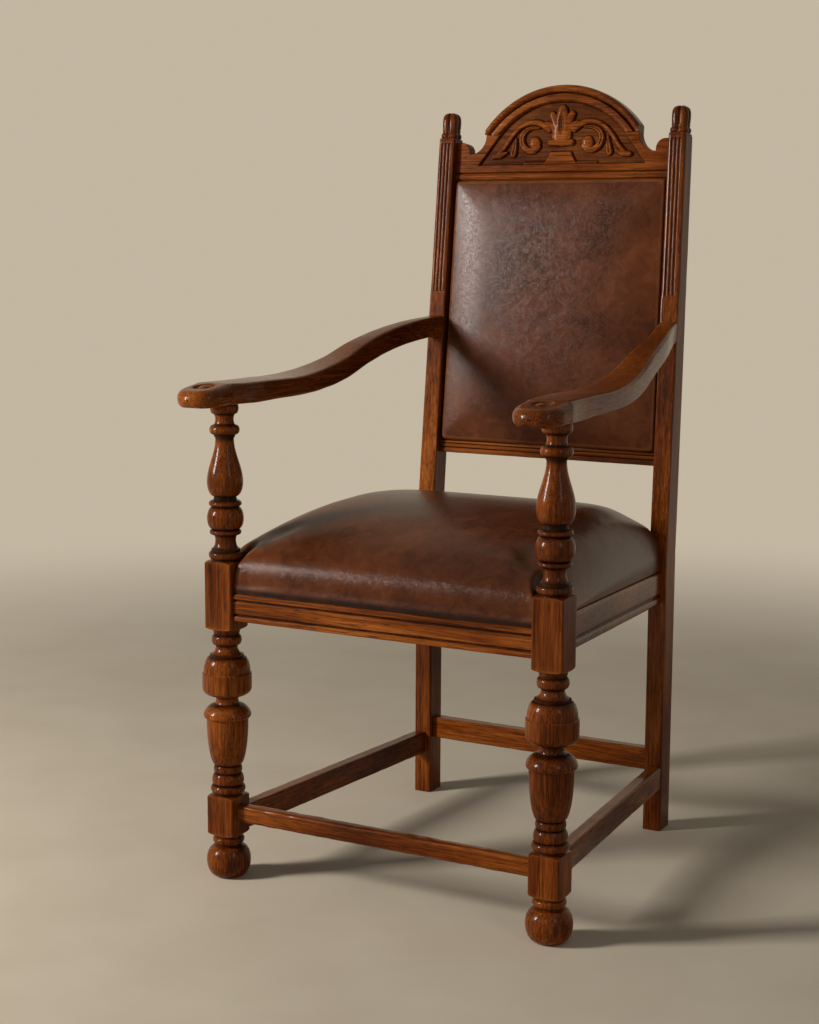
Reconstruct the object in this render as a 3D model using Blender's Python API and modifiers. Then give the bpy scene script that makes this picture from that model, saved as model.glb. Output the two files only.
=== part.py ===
"""Carved oak armchair with a leather seat and back, built from its joiner's pieces.

Metres, +Z up. The chair faces -Y and its left is -X as seen from the front.
Heights are above the floor. Depths are measured back from the axes of the front legs,
and one empty carries the whole chair so that the middle of its floor plan is the origin.
"""

import math

import bmesh
import bpy
from mathutils import Matrix, Vector

# Fits
GAP = 0.0003                     # left between two pieces that touch
TENON_GAP = 0.0003               # left round a tenon in its mortise
OVERLAP = 0.004                  # how far a tenon is sunk into its own rail before they are fused
WELD = 0.00001                   # vertices closer than this are one

# Plan of the frame
FRONT_SPREAD = 0.525             # between the axes of the front legs
BACK_SPREAD = 0.4206             # between the middles of the back legs
POST_TOP_SPREAD = 0.404          # between the middles of the posts at their tops
FRAME_DEPTH = 0.506              # front leg axis to the front face of the back legs

# Front legs
BLOCK_WIDTH = 0.0457
BLOCK_SHOULDER = 0.004           # rounding of a block's ends
LOWER_BLOCK_BOTTOM = 0.065
LOWER_BLOCK_HEIGHT = 0.060
UPPER_BLOCK_HEIGHT = 0.101
UPPER_BLOCK_DROP = 0.0155        # block's lower end below the front rail
FOOT_RADIUS = 0.033
FOOT_PAD_RADIUS = 0.018          # flat that stands on the floor
CUP_RADIUS = 0.031
CUP_LIP_RADIUS = 0.0337
COVER_RADIUS = 0.0364
VASE_RADIUS = 0.0263
BALL_BEAD_RADIUS = 0.0262
BEAD_RADIUS = 0.0235
FILLET_RADIUS = 0.0205
NECK_RADIUS = 0.0185
VASE_NECK_RADIUS = 0.0134
ARM_PIN_RADIUS = 0.011           # round tenon that holds the arm
ARM_PIN_LENGTH = 0.019
LEG_STEPS = 16                   # facets round a turning
ARC_STEPS = 3                    # facets along a short turned curve
LONG_ARC_STEPS = 6               # facets along a curve that takes up a good part of its length
LONG_SHARE = 0.2
PIN_STEPS = 8                    # facets round a small pin

# Back legs and posts
POST_WIDTH = 0.030
LEG_DEPTH = 0.042
POST_TOP_DEPTH = 0.034
POST_TOP = 1.104
RAKE_RISE = 0.0275               # the post starts to lean back this far above the side rails' back ends
RAKE_BACK = 0.057                # how far back the post's top leans
CHAMFER = 0.007
CHAMFER_RISE = 0.036             # the chamfers and flutes start this far above the arm
FLUTE_COUNT = 3
FLUTE_RADIUS = 0.0022
FLUTE_PITCH = 0.0056
FLUTE_DEPTH = 0.0013
FINIAL_WIDTH = 0.028
FINIAL_HEIGHT = 0.040
FINIAL_ROUNDING = 0.010
FINIAL_GROOVE = 0.004
ABACUS_HEIGHT = 0.004
FINIAL_PIN_RADIUS = 0.006
FINIAL_PIN_LENGTH = 0.014

# Seat rails
RAIL_THICKNESS = 0.022
RAIL_EDGE = 0.0025               # depth of the mouldings' steps
FRONT_RAIL_BOTTOM = 0.3915
FRONT_RAIL_HEIGHT = 0.0405
FRONT_RAIL_INSET = 0.005         # face of the front rail behind the blocks' faces
SIDE_RAIL_HEIGHT = 0.050
SIDE_RAIL_STEP = 0.0185          # side rails' front ends above the front rail's top
SIDE_RAIL_FALL = 0.028           # fall of the side rails from front to back
SIDE_RAIL_INSET_FRONT = 0.0047
SIDE_RAIL_INSET_BACK = 0.008
BACK_RAIL_INSET = 0.006

# Stretchers
STRETCHER_THICKNESS = 0.020
STRETCHER_EDGE = 0.0015
FRONT_STRETCHER_RISE = 0.021     # above the lower ends of the lower blocks, as the next two
FRONT_STRETCHER_HEIGHT = 0.0265
SIDE_STRETCHER_RISE = 0.005
SIDE_STRETCHER_HEIGHT = 0.036
BACK_STRETCHER_RISE = 0.0305
BACK_STRETCHER_HEIGHT = 0.0355
SIDE_STRETCHER_INSET_FRONT = 0.0255
SIDE_STRETCHER_INSET_BACK = 0.001

# Tenons
TENON_THICKNESS = 0.009
TENON_LENGTH = 0.015
TENON_SHOULDER = 0.005           # rail left above and below a tenon

# Arms
HAND_RADIUS = 0.035
HAND_REACH = 0.085               # tip of the hand in front of the leg axis
HAND_THICKNESS = 0.029
ARM_UNDERSIDE = 0.7075           # flat that rests on the front leg
ARM_RISE = 0.0793                # top of the arm's back end above the top of the hand
ARM_BOW = 0.016                  # how far the arm swings outwards
HAND_STEP = 0.0025               # the arm is this much narrower than the hand on each side
HAND_LENGTH = 0.055              # tip to the step
HAND_TURNS = (14, 38, 62, 90)    # sections round the hand's end, in degrees from its tip
ARM_END_WIDTH = 0.0304
ARM_END_THICKNESS = 0.0315
ARM_ROUNDING = 0.005
ARM_TENON_HEIGHT = 0.020
ARM_TENON_LENGTH = 0.018

# Back panel
BACK_SET = 0.016                 # crest and rails behind the posts' front faces
CREST_THICKNESS = 0.017
CREST_DROP = 0.0535              # crest's bottom below the tops of the posts
CREST_DIP = 0.030                # lowest point of the top edge, above the crest's bottom
EAR_HEIGHT = 0.0495
EAR_INNER = 0.163                # half the distance between the ears
EAR_RADIUS = 0.014
NECK_TOP_HALF = 0.1365           # half the width of the crest where the arch sits
ARCH_SEAT = 0.063                # height of the arch's ends above the crest's bottom
ARCH_CENTRE_DROP = 0.0261        # centre of the arch below the crest's bottom
ARCH_OUTER = 0.1651
ARCH_INNER = 0.1395
ARCH_PROUD = 0.006
ARCH_BEAD_SHARE = 0.24           # radius of the arch's outer bead, as a share of its width
ARCH_GROOVE = 2.3                # where the groove beside the bead ends, in bead radii
ARCH_FILLET = 2.6                # where the flat beside the groove starts, in bead radii
ARCH_STEPS = 48                  # facets round a whole turn
CARVED_DEPTH = 0.0045            # the carved ground lies this far behind the crest's face
CARVED_BASE = 0.016
CARVED_BASE_HALF = 0.146
TOP_RAIL_HEIGHT = 0.012
LOWER_RAIL_BOTTOM = 0.588
LOWER_RAIL_HEIGHT = 0.020
BOARD_THICKNESS = 0.006
REAR_COVER_THICKNESS = 0.0022
BACK_PAD_BASE_DEPTH = 0.0215     # back of the pad behind the posts' front faces
BACK_PAD_EDGE = 0.009            # thickness of the pad at its edge
BACK_PAD_CROWN = 0.014
BACK_PAD_DRAW = 0.004            # how far its sides are drawn in
BACK_PAD_CORNER = 0.030
BACK_PAD_FULL = 2.6              # the larger, the flatter the middle
BACK_PAD_GRID = (14, 18)

# Seat
SEAT_FRONT = -0.0145             # front of the leather, from the leg axes
SEAT_BACK_INSET = 0.003          # back of the leather in front of the back rail's rear face
SEAT_SIDE_INSET = 0.004          # leather behind the side rails' faces
SEAT_EDGE_RISE = 0.030           # the roll of the front edge starts this far above the front rail
SEAT_EDGE_RISE_BACK = 0.037
SEAT_CROWN = 0.086
SEAT_FULL_ACROSS = 8.2           # the larger, the flatter the middle and the tighter the edge
SEAT_FULL_ALONG = 2.06
SEAT_ROLL = 0.57
SEAT_CORNER = 0.04
SEAT_DRAW = 0.004
SEAT_BULGE = 0.004
SEAT_SKIRT = 0.0155              # leather carried down behind the rails' tops
SEAT_GRID = (16, 14)
LEATHER_GAP = 0.0005             # leather to the wood round it
CORNER_BLOCK_THICKNESS = 0.016
CORNER_BLOCK_REACH = 0.075
CORNER_BLOCK_RISE = 0.001        # above the front rail's lower edge
SLAT_WIDTH = 0.050
SLAT_THICKNESS = 0.014
SLAT_GAP = 0.002                 # slats to the rails
SLAT_TONGUE = 0.016
WEB_WIDTH = 0.050
WEB_THICKNESS = 0.0015
WEB_COUNT = 3
WEB_PITCH = 0.105
DUST_COVER_THICKNESS = 0.0008
SCREW_RADIUS = 0.002
SCREW_HEAD_RADIUS = 0.0042
SCREW_HEAD_HEIGHT = 0.003
SCREW_RIM = 0.0005
SCREW_LENGTH = 0.026

# Sizes that follow from the driving ones
LOWER_BLOCK_TOP = LOWER_BLOCK_BOTTOM + LOWER_BLOCK_HEIGHT
UPPER_BLOCK_BOTTOM = FRONT_RAIL_BOTTOM - UPPER_BLOCK_DROP
UPPER_BLOCK_TOP = UPPER_BLOCK_BOTTOM + UPPER_BLOCK_HEIGHT
FRONT_RAIL_TOP = FRONT_RAIL_BOTTOM + FRONT_RAIL_HEIGHT
SIDE_RAIL_TOP_FRONT = FRONT_RAIL_TOP + SIDE_RAIL_STEP
SIDE_RAIL_TOP_BACK = SIDE_RAIL_TOP_FRONT - SIDE_RAIL_FALL
RAKE_START = SIDE_RAIL_TOP_BACK + RAKE_RISE
FRONT_STRETCHER_BOTTOM = LOWER_BLOCK_BOTTOM + FRONT_STRETCHER_RISE
FRONT_STRETCHER_TOP = FRONT_STRETCHER_BOTTOM + FRONT_STRETCHER_HEIGHT
SIDE_STRETCHER_BOTTOM = LOWER_BLOCK_BOTTOM + SIDE_STRETCHER_RISE
SIDE_STRETCHER_TOP = SIDE_STRETCHER_BOTTOM + SIDE_STRETCHER_HEIGHT
BACK_STRETCHER_BOTTOM = LOWER_BLOCK_BOTTOM + BACK_STRETCHER_RISE
BACK_STRETCHER_TOP = BACK_STRETCHER_BOTTOM + BACK_STRETCHER_HEIGHT
HAND_TOP = ARM_UNDERSIDE + HAND_THICKNESS
ARM_END_TOP = HAND_TOP + ARM_RISE
ARM_END_MIDDLE = ARM_END_TOP - ARM_END_THICKNESS / 2
CHAMFER_STOP = ARM_END_TOP + CHAMFER_RISE
CREST_BOTTOM = POST_TOP - CREST_DROP
LOWER_RAIL_TOP = LOWER_RAIL_BOTTOM + LOWER_RAIL_HEIGHT
SEAT_EDGE = FRONT_RAIL_TOP + SEAT_EDGE_RISE
SEAT_EDGE_BACK = FRONT_RAIL_TOP + SEAT_EDGE_RISE_BACK
SEAT_BASE = FRONT_RAIL_TOP - SEAT_SKIRT
LEG_X = FRONT_SPREAD / 2
BLOCK_HALF = BLOCK_WIDTH / 2
BACK_X = BACK_SPREAD / 2
POST_HALF = POST_WIDTH / 2
RAKE = math.atan2(RAKE_BACK, POST_TOP - RAKE_START)
POST_LENGTH = (POST_TOP - RAKE_START) / math.cos(RAKE)
ARM_PIN_TOP = ARM_UNDERSIDE + ARM_PIN_LENGTH
CREST_FLOOR = (CREST_BOTTOM - RAKE_START + BACK_SET * math.sin(RAKE)) / math.cos(RAKE)
ARCH_TOP = CREST_FLOOR - ARCH_CENTRE_DROP + ARCH_OUTER
FRONT_TIP = HAND_RADIUS * (1 - math.cos(math.radians(HAND_TURNS[0]))) - HAND_REACH
BACK_TIP = FRAME_DEPTH + (BACK_SET + CREST_THICKNESS) * math.cos(RAKE) + ARCH_TOP * math.sin(RAKE)
MIDDLE = (FRONT_TIP + BACK_TIP) / 2
CORNER_BOTTOM = FRONT_RAIL_BOTTOM + CORNER_BLOCK_RISE
SLAT_BOTTOM = CORNER_BOTTOM + CORNER_BLOCK_THICKNESS + GAP
SLAT_TOP = SLAT_BOTTOM + SLAT_THICKNESS
WEB_TOP = SLAT_TOP + 2 * (GAP + WEB_THICKNESS)
FRONT_RAIL_FACE = -BLOCK_HALF + FRONT_RAIL_INSET
FRONT_RAIL_REAR = FRONT_RAIL_FACE + RAIL_THICKNESS
BACK_RAIL_FACE = FRAME_DEPTH + BACK_RAIL_INSET
BACK_RAIL_REAR = BACK_RAIL_FACE + RAIL_THICKNESS


for old in list(bpy.data.objects):
    bpy.data.objects.remove(old, do_unlink=True)

parts = bpy.data.collections.new("carved_oak_armchair")
cutters = bpy.data.collections.new("cutters")
bpy.context.scene.collection.children.link(parts)
bpy.context.scene.collection.children.link(cutters)

chair = bpy.data.objects.new("chair", None)
chair.location = (0.0, -MIDDLE, 0.0)
parts.objects.link(chair)

back_plane = bpy.data.objects.new("back_plane", None)
back_plane.parent = chair
back_plane.location = (0.0, FRAME_DEPTH, RAKE_START)
back_plane.rotation_euler = (-RAKE, 0.0, 0.0)
parts.objects.link(back_plane)


# Materials


def finish(name, colour, roughness, metallic=0.0):
    """One Principled material."""
    material = bpy.data.materials.new(name)
    material.use_nodes = True
    shader = material.node_tree.nodes["Principled BSDF"]
    shader.inputs["Base Color"].default_value = (*colour, 1.0)
    shader.inputs["Roughness"].default_value = roughness
    shader.inputs["Metallic"].default_value = metallic
    return material


FINISHES = {
    "oak": ((0.110, 0.036, 0.014), 0.38, 0.0),
    "leather": ((0.060, 0.022, 0.014), 0.36, 0.0),
    "frame_wood": ((0.42, 0.27, 0.14), 0.70, 0.0),
    "webbing": ((0.36, 0.28, 0.17), 0.90, 0.0),
    "dust_cloth": ((0.03, 0.03, 0.03), 0.95, 0.0),
    "steel": ((0.45, 0.45, 0.45), 0.40, 1.0),
}


# Ways of making a piece


def add(name, mesh, kind, parent=chair, location=(0.0, 0.0, 0.0)):
    """A named piece of the chair with its own material."""
    piece = bpy.data.objects.new(name, mesh)
    mesh.materials.clear()
    mesh.materials.append(finish(name, *FINISHES[kind]))
    piece.parent = parent
    piece.location = location
    parts.objects.link(piece)
    return piece


def tool(name, mesh, parent=chair, location=(0.0, 0.0, 0.0)):
    """A solid that cuts a piece, or is fused to it."""
    helper = bpy.data.objects.new(name, mesh)
    helper.parent = parent
    helper.location = location
    helper.hide_render = True
    helper.display_type = "WIRE"
    cutters.objects.link(helper)
    return helper


def boolean(piece, helper, operation):
    """A Boolean modifier on a piece."""
    modifier = piece.modifiers.new(helper.name, "BOOLEAN")
    modifier.operation = operation
    modifier.solver = "EXACT"
    modifier.object = helper


def cut(piece, helper):
    """Takes the helper's shape out of the piece."""
    boolean(piece, helper, "DIFFERENCE")


def fuse(piece, helper):
    """Makes the helper's shape part of the piece."""
    boolean(piece, helper, "UNION")


def to_mesh(bm, name):
    """Closes a bmesh into a mesh whose faces point out."""
    bmesh.ops.recalc_face_normals(bm, faces=bm.faces)
    if bm.calc_volume(signed=True) < 0:
        bmesh.ops.reverse_faces(bm, faces=bm.faces)
    mesh = bpy.data.meshes.new(name)
    bm.to_mesh(mesh)
    bm.free()
    return mesh


def box(name, low, high):
    """A box between two corners."""
    low, high = Vector(low), Vector(high)
    bm = bmesh.new()
    bmesh.ops.create_cube(bm, size=1.0)
    bmesh.ops.scale(bm, vec=high - low, verts=bm.verts)
    bmesh.ops.translate(bm, vec=(low + high) / 2, verts=bm.verts)
    return to_mesh(bm, name)


def grown(low, high, by):
    """Two corners of a box, moved out by the same margin."""
    margin = Vector((by, by, by))
    return Vector(low) - margin, Vector(high) + margin


def plate(name, outline, thickness):
    """A flat outline with a thickness: the outline lies in XY, the thickness is centred on Z."""
    curve = bpy.data.curves.new(name, "CURVE")
    curve.dimensions = "2D"
    curve.fill_mode = "BOTH"
    curve.extrude = thickness / 2
    spline = curve.splines.new("POLY")
    spline.points.add(len(outline) - 1)
    for point, (u, v) in zip(spline.points, outline):
        point.co = (u, v, 0.0, 1.0)
    spline.use_cyclic_u = True
    flat = bpy.data.objects.new(name, curve)
    bpy.context.scene.collection.objects.link(flat)
    evaluated = flat.evaluated_get(bpy.context.evaluated_depsgraph_get())
    mesh = bpy.data.meshes.new_from_object(evaluated)
    bpy.data.objects.remove(flat)
    bm = bmesh.new()
    bm.from_mesh(mesh)
    bmesh.ops.remove_doubles(bm, verts=bm.verts, dist=WELD)
    bmesh.ops.recalc_face_normals(bm, faces=bm.faces)
    bm.to_mesh(mesh)
    bm.free()
    mesh.name = name
    return mesh


def laid(mesh, origin, u, v, w):
    """Puts a mesh made along X, Y and Z onto three other directions."""
    axes = Matrix((u, v, w)).transposed()
    mesh.transform(Matrix.Translation(origin) @ axes.to_4x4())
    if axes.determinant() < 0:
        mesh.flip_normals()
    return mesh


def profile_mesh(name, profile):
    """The line that a turning is spun from: (radius, height) from the bottom up, closed on its axis."""
    mesh = bpy.data.meshes.new(name)
    points = [(radius, 0.0, height) for radius, height in reversed(profile)]
    mesh.from_pydata(points, [(i, i + 1) for i in range(len(points) - 1)], [])
    return mesh


def spin(piece, steps, axis="Z"):
    """Turns a profile about an axis."""
    screw = piece.modifiers.new("turning", "SCREW")
    screw.axis = axis
    screw.steps = steps
    screw.render_steps = steps
    screw.use_merge_vertices = True
    screw.merge_threshold = WELD
    return screw


def rod(radius, low, high):
    """Profile of a plain round rod."""
    return [(0.0, low), (radius, low), (radius, high), (0.0, high)]


def turned_tool(name, profile, steps, parent=chair, location=(0.0, 0.0, 0.0)):
    """A turning to cut or fuse with."""
    helper = tool(name, profile_mesh(name, profile), parent, location)
    spin(helper, steps)
    return helper


def arc(centre, radii, start, end, steps):
    """Points on an elliptic arc, angles in degrees."""
    points = []
    for i in range(steps + 1):
        angle = math.radians(start + (end - start) * i / steps)
        points.append((centre[0] + radii[0] * math.cos(angle), centre[1] + radii[1] * math.sin(angle)))
    return points


def blend(a, b, t):
    """A value between a and b."""
    return a + (b - a) * t


# Front legs

# A turned length is a row of shapes: shape, where it ends as a share of the length,
# radius at its end, and the radius that a bead or cove swells or sinks to
FOOT = (
    ("bead", 0.72, 0.0195, FOOT_RADIUS),
    ("straight", 0.77, 0.0195, None),
    ("bead", 0.93, FILLET_RADIUS, BEAD_RADIUS),
    ("straight", 1.00, FILLET_RADIUS, None),
)
CUP_AND_COVER = (
    ("straight", 0.012, FILLET_RADIUS, None),
    ("bead", 0.062, FILLET_RADIUS, 0.0258),
    ("bead", 0.132, NECK_RADIUS, BEAD_RADIUS),
    ("bead", 0.180, NECK_RADIUS, 0.0212),
    ("cup", 0.465, CUP_RADIUS, None),
    ("bead", 0.545, NECK_RADIUS + 0.0025, CUP_LIP_RADIUS),
    ("cove", 0.590, 0.0235, NECK_RADIUS),
    ("cup", 0.640, COVER_RADIUS, None),
    ("straight", 0.735, COVER_RADIUS, None),
    ("straight", 0.742, COVER_RADIUS - 0.002, None),
    ("dome", 0.832, 0.0250, None),
    ("straight", 0.845, 0.0250, None),
    ("cove", 0.905, NECK_RADIUS, 0.0170),
    ("bead", 0.962, NECK_RADIUS, 0.0222),
    ("straight", 1.00, FILLET_RADIUS, None),
)
BALUSTER = (
    ("straight", 0.010, FILLET_RADIUS, None),
    ("bead", 0.058, 0.0215, 0.0248),
    ("straight", 0.075, 0.0215, None),
    ("cove", 0.165, 0.0205, 0.0160),
    ("bead", 0.200, 0.0212, 0.0228),
    ("bead", 0.345, 0.0200, BALL_BEAD_RADIUS),
    ("bead", 0.385, NECK_RADIUS, BEAD_RADIUS),
    ("straight", 0.410, 0.0174, None),
    ("cup", 0.500, VASE_RADIUS, None),
    ("ogee", 0.775, VASE_NECK_RADIUS, None),
    ("straight", 0.800, 0.0165, None),
    ("bead", 0.860, 0.0165, 0.0220),
    ("cove", 0.930, 0.0165, VASE_NECK_RADIUS),
    ("bead", 1.00, 0.0165, 0.0207),
)


def turned_curve(shape, r0, r1, extreme, steps):
    """Shares along a shape with the radius at each."""
    if shape == "straight":
        return [(1.0, r1)]
    rows = []
    for i in range(1, steps + 1):
        turn = i / steps
        if shape in ("bead", "cove"):
            t = (1 - math.cos(math.pi * turn)) / 2
            r = blend(r0, r1, t) + (extreme - (r0 + r1) / 2) * math.sin(math.pi * turn)
        elif shape == "cup":
            t = 1 - math.cos(math.pi / 2 * turn)
            r = blend(r0, r1, math.sin(math.pi / 2 * turn))
        elif shape == "dome":
            t = math.sin(math.pi / 2 * turn)
            r = blend(r1, r0, math.cos(math.pi / 2 * turn))
        else:
            t = turn
            r = blend(r0, r1, (1 - math.cos(math.pi * turn)) / 2)
        rows.append((t, r))
    return rows


def turned_length(pattern, low, high, start):
    """Profile points of one turned length, from the bottom up."""
    points = [(start, low)]
    share, radius = 0.0, start
    for shape, end, r1, extreme in pattern:
        steps = LONG_ARC_STEPS if end - share > LONG_SHARE else ARC_STEPS
        for t, r in turned_curve(shape, radius, r1, extreme, steps):
            points.append((r, blend(low, high, blend(share, end, t))))
        share, radius = end, r1
    return points


def leg_profile():
    """The whole front leg, from the floor to the top of the pin that holds the arm."""
    points = [(0.0, 0.0)]
    points += turned_length(FOOT, 0.0, LOWER_BLOCK_BOTTOM, FOOT_PAD_RADIUS)
    points += turned_length(CUP_AND_COVER, LOWER_BLOCK_TOP, UPPER_BLOCK_BOTTOM, FILLET_RADIUS)
    points += turned_length(BALUSTER, UPPER_BLOCK_TOP, ARM_UNDERSIDE - GAP, FILLET_RADIUS)
    points += [(ARM_PIN_RADIUS, ARM_UNDERSIDE - GAP), (ARM_PIN_RADIUS, ARM_PIN_TOP), (0.0, ARM_PIN_TOP)]
    return points


def leg_block(name, bottom, top):
    """A square block on a turned leg, rounded at its two ends."""
    mesh = box(name, (-BLOCK_HALF, -BLOCK_HALF, bottom), (BLOCK_HALF, BLOCK_HALF, top))
    bm = bmesh.new()
    bm.from_mesh(mesh)
    ends = [e for e in bm.edges if abs(e.verts[0].co.z - e.verts[1].co.z) < WELD]
    bmesh.ops.bevel(
        bm, geom=ends, offset=BLOCK_SHOULDER, segments=2, profile=0.5, affect="EDGES", material=-1
    )
    return to_mesh(bm, name)


def front_leg(side, word):
    """One front leg: a turning fused with its two blocks."""
    name = "front_leg_" + word
    leg = add(name, profile_mesh(name, leg_profile()), "oak", location=(side * LEG_X, 0.0, 0.0))
    spin(leg, LEG_STEPS)
    for label, bottom, top in (
        ("lower", LOWER_BLOCK_BOTTOM, LOWER_BLOCK_TOP),
        ("upper", UPPER_BLOCK_BOTTOM, UPPER_BLOCK_TOP),
    ):
        name = f"{label}_block_{word}"
        fuse(leg, tool(name, leg_block(name, bottom, top), location=(side * LEG_X, 0.0, 0.0)))
    return leg


# Back posts


def face_depth(z):
    """Depth of the posts' front faces at a height."""
    return FRAME_DEPTH + max(0.0, z - RAKE_START) * math.tan(RAKE)


def post_x(z):
    """Half the distance between the posts' middles at a height."""
    share = max(0.0, z - RAKE_START) / (POST_TOP - RAKE_START)
    return blend(BACK_X, POST_TOP_SPREAD / 2, share)


def up_slope(z, depth=0.0):
    """Distance up the leaning back of a point at a height and a depth behind the posts' faces."""
    return (z - RAKE_START + depth * math.sin(RAKE)) / math.cos(RAKE)


def sloping_x(rise):
    """Half the distance between the posts' middles at a distance up the leaning back."""
    return blend(BACK_X, POST_TOP_SPREAD / 2, rise / POST_LENGTH)


def back_post(side, word):
    """Back leg and raked post in one length, chamfered and fluted above the arm."""
    top_back = POST_TOP - POST_TOP_DEPTH * math.sin(RAKE)
    outline = [
        (FRAME_DEPTH, 0.0),
        (FRAME_DEPTH + LEG_DEPTH, 0.0),
        (FRAME_DEPTH + LEG_DEPTH, RAKE_START),
        (FRAME_DEPTH + RAKE_BACK + POST_TOP_DEPTH * math.cos(RAKE), top_back),
        (FRAME_DEPTH + RAKE_BACK, POST_TOP),
        (FRAME_DEPTH, RAKE_START),
    ]
    mesh = plate("back_post_" + word, outline, POST_WIDTH)
    laid(mesh, (0.0, 0.0, 0.0), (0, 1, 0), (0, 0, 1), (1, 0, 0))
    for vertex in mesh.vertices:
        vertex.co.x += side * post_x(vertex.co.z)
    post = add("back_post_" + word, mesh, "oak")
    lean = (POST_TOP_SPREAD / 2 - BACK_X) / POST_LENGTH
    stop = up_slope(CHAMFER_STOP)
    run = POST_LENGTH - stop + 2 * CHAMFER
    for edge in (-1, 1):
        corner = [(-CHAMFER * 2, -CHAMFER), (CHAMFER, -CHAMFER), (CHAMFER, CHAMFER * 2)]
        name = f"chamfer_{word}_{'inner' if edge == -side else 'outer'}"
        mesh = plate(name, corner, run)
        start = (side * sloping_x(stop + run / 2) + edge * POST_HALF, 0.0, stop + run / 2)
        laid(mesh, start, (edge, 0, 0), (0, 1, 0), (side * lean, 0, 1))
        cut(post, tool(name, mesh, back_plane))
    for number in range(FLUTE_COUNT):
        offset = (number - (FLUTE_COUNT - 1) / 2) * FLUTE_PITCH
        name = f"flute_{word}_{number + 1}"
        mesh = plate(name, arc((0.0, 0.0), (FLUTE_RADIUS, FLUTE_RADIUS), 0, 315, 7), run)
        start = (side * sloping_x(stop + run / 2) + offset, FLUTE_DEPTH - FLUTE_RADIUS, stop + run / 2)
        laid(mesh, start, (1, 0, 0), (0, 1, 0), (side * lean, 0, 1))
        cut(post, tool(name, mesh, back_plane))
    return post


def finial(side, word, post):
    """Four-lobed bud on the top of a post, held by a pin."""
    half = FINIAL_WIDTH / 2
    place = (side * POST_TOP_SPREAD / 2, POST_TOP_DEPTH / 2, POST_LENGTH)
    mesh = box("finial_" + word, (-half, -half, GAP), (half, half, FINIAL_HEIGHT + ABACUS_HEIGHT))
    bm = bmesh.new()
    bm.from_mesh(mesh)
    rounded = [e for e in bm.edges if max(v.co.z for v in e.verts) > FINIAL_HEIGHT]
    bmesh.ops.bevel(
        bm, geom=rounded, offset=FINIAL_ROUNDING, segments=3, profile=0.5, affect="EDGES", material=-1
    )
    bud = add("finial_" + word, to_mesh(bm, "finial_" + word), "oak", back_plane, place)
    pin_low = GAP - FINIAL_PIN_LENGTH
    pin = rod(FINIAL_PIN_RADIUS, pin_low, OVERLAP)
    fuse(bud, turned_tool("finial_pin_" + word, pin, PIN_STEPS, back_plane, place))
    for number in range(4):
        name = f"finial_groove_{word}_{number + 1}"
        low = (-FINIAL_GROOVE, -FINIAL_GROOVE, ABACUS_HEIGHT)
        mesh = box(name, low, (FINIAL_GROOVE, FINIAL_GROOVE, 2 * FINIAL_HEIGHT))
        mesh.transform(Matrix.Rotation(math.pi / 4, 4, "Z"))
        mesh.transform(Matrix.Translation((half + FINIAL_GROOVE * 0.4, 0.0, 0.0)))
        mesh.transform(Matrix.Rotation(math.pi / 2 * number, 4, "Z"))
        cut(bud, tool(name, mesh, back_plane, place))
    hole = rod(FINIAL_PIN_RADIUS + TENON_GAP, pin_low - GAP, OVERLAP)
    cut(post, turned_tool("finial_hole_" + word, hole, PIN_STEPS, back_plane, place))


# Tenons and mortises


def tenon(rail, host, name, low, high, parent=chair):
    """Fuses a tenon to a rail and sinks its mortise into the piece that it enters."""
    fuse(rail, tool(name, box(name, low, high), parent))
    slot = name + "_mortise"
    cut(host, tool(slot, box(slot, *grown(low, high, TENON_GAP)), parent))


def cross_tenons(rail, name, face, depth, low, high, hosts, parent=chair):
    """The two tenons of a rail that runs from side to side, one into each of two hosts."""
    for side, host in ((-1, hosts[0]), (1, hosts[1])):
        near, far = sorted((side * (face - OVERLAP), side * (face + TENON_LENGTH)))
        half = TENON_THICKNESS / 2
        tenon(rail, host, f"{name}_{side}", (near, depth - half, low), (far, depth + half, high), parent)


# Rails and stretchers


def eased(piece, width):
    """Takes the sharp edges off a rail."""
    bevel = piece.modifiers.new("eased_edges", "BEVEL")
    bevel.width = width
    bevel.segments = 1


def cross_rail(name, outline, length, depth, bottom, parent=chair):
    """A rail from side to side: the outline is (forward, up) from its back lower edge."""
    mesh = plate(name, outline, length)
    laid(mesh, (0.0, depth, bottom), (0, -1, 0), (0, 0, 1), (-1, 0, 0))
    return add(name, mesh, "oak", parent)


def moulded(thickness, height, step):
    """Section of a moulded rail: bead, flat band, groove and a lower bead that stands proud."""
    t, h, s = thickness, height, step
    return [
        (0.0, 0.0),
        (t - s / 2, 0.0),
        (t, s),
        (t, h * 0.16),
        (t - s, h * 0.20),
        (t - s, h * 0.26),
        (t - s * 0.4, h * 0.30),
        (t - s * 0.4, h * 0.70),
        (t - s, h * 0.75),
        (t - s, h * 0.79),
        (t, h * 0.84),
        (t, h * 0.95),
        (t - s, h),
        (0.0, h),
    ]


def side_rail_section(height, step):
    """Section of a side rail: flat band over a groove and a lower bead."""
    t, h, s = RAIL_THICKNESS, height, step
    return [
        (0.0, 0.0),
        (t - s / 2, 0.0),
        (t, s),
        (t, h * 0.20),
        (t - s, h * 0.24),
        (t - s, h * 0.30),
        (t, h * 0.34),
        (t, h - s),
        (t - s, h),
        (0.0, h),
    ]


def plain_section(thickness, height):
    """Section of a plain rail."""
    return [(0.0, 0.0), (thickness, 0.0), (thickness, height), (0.0, height)]


SIDE_START = BLOCK_HALF + GAP
SIDE_END = FRAME_DEPTH - GAP
SIDE_RUN = SIDE_END - SIDE_START


def side_bar(name, section, side, inner_front, inner_back, bottom_front, bottom_back):
    """A bar from a front leg to a back leg: the section is (outward, up) from its inner lower edge."""
    mesh = plate(name, section, SIDE_RUN)
    run = Vector((side * (inner_back - inner_front), SIDE_RUN, bottom_back - bottom_front)) / SIDE_RUN
    middle = (
        side * (inner_front + inner_back) / 2,
        (SIDE_START + SIDE_END) / 2,
        (bottom_front + bottom_back) / 2,
    )
    return laid(mesh, middle, (side, 0, 0), (0, 0, 1), run)


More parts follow.
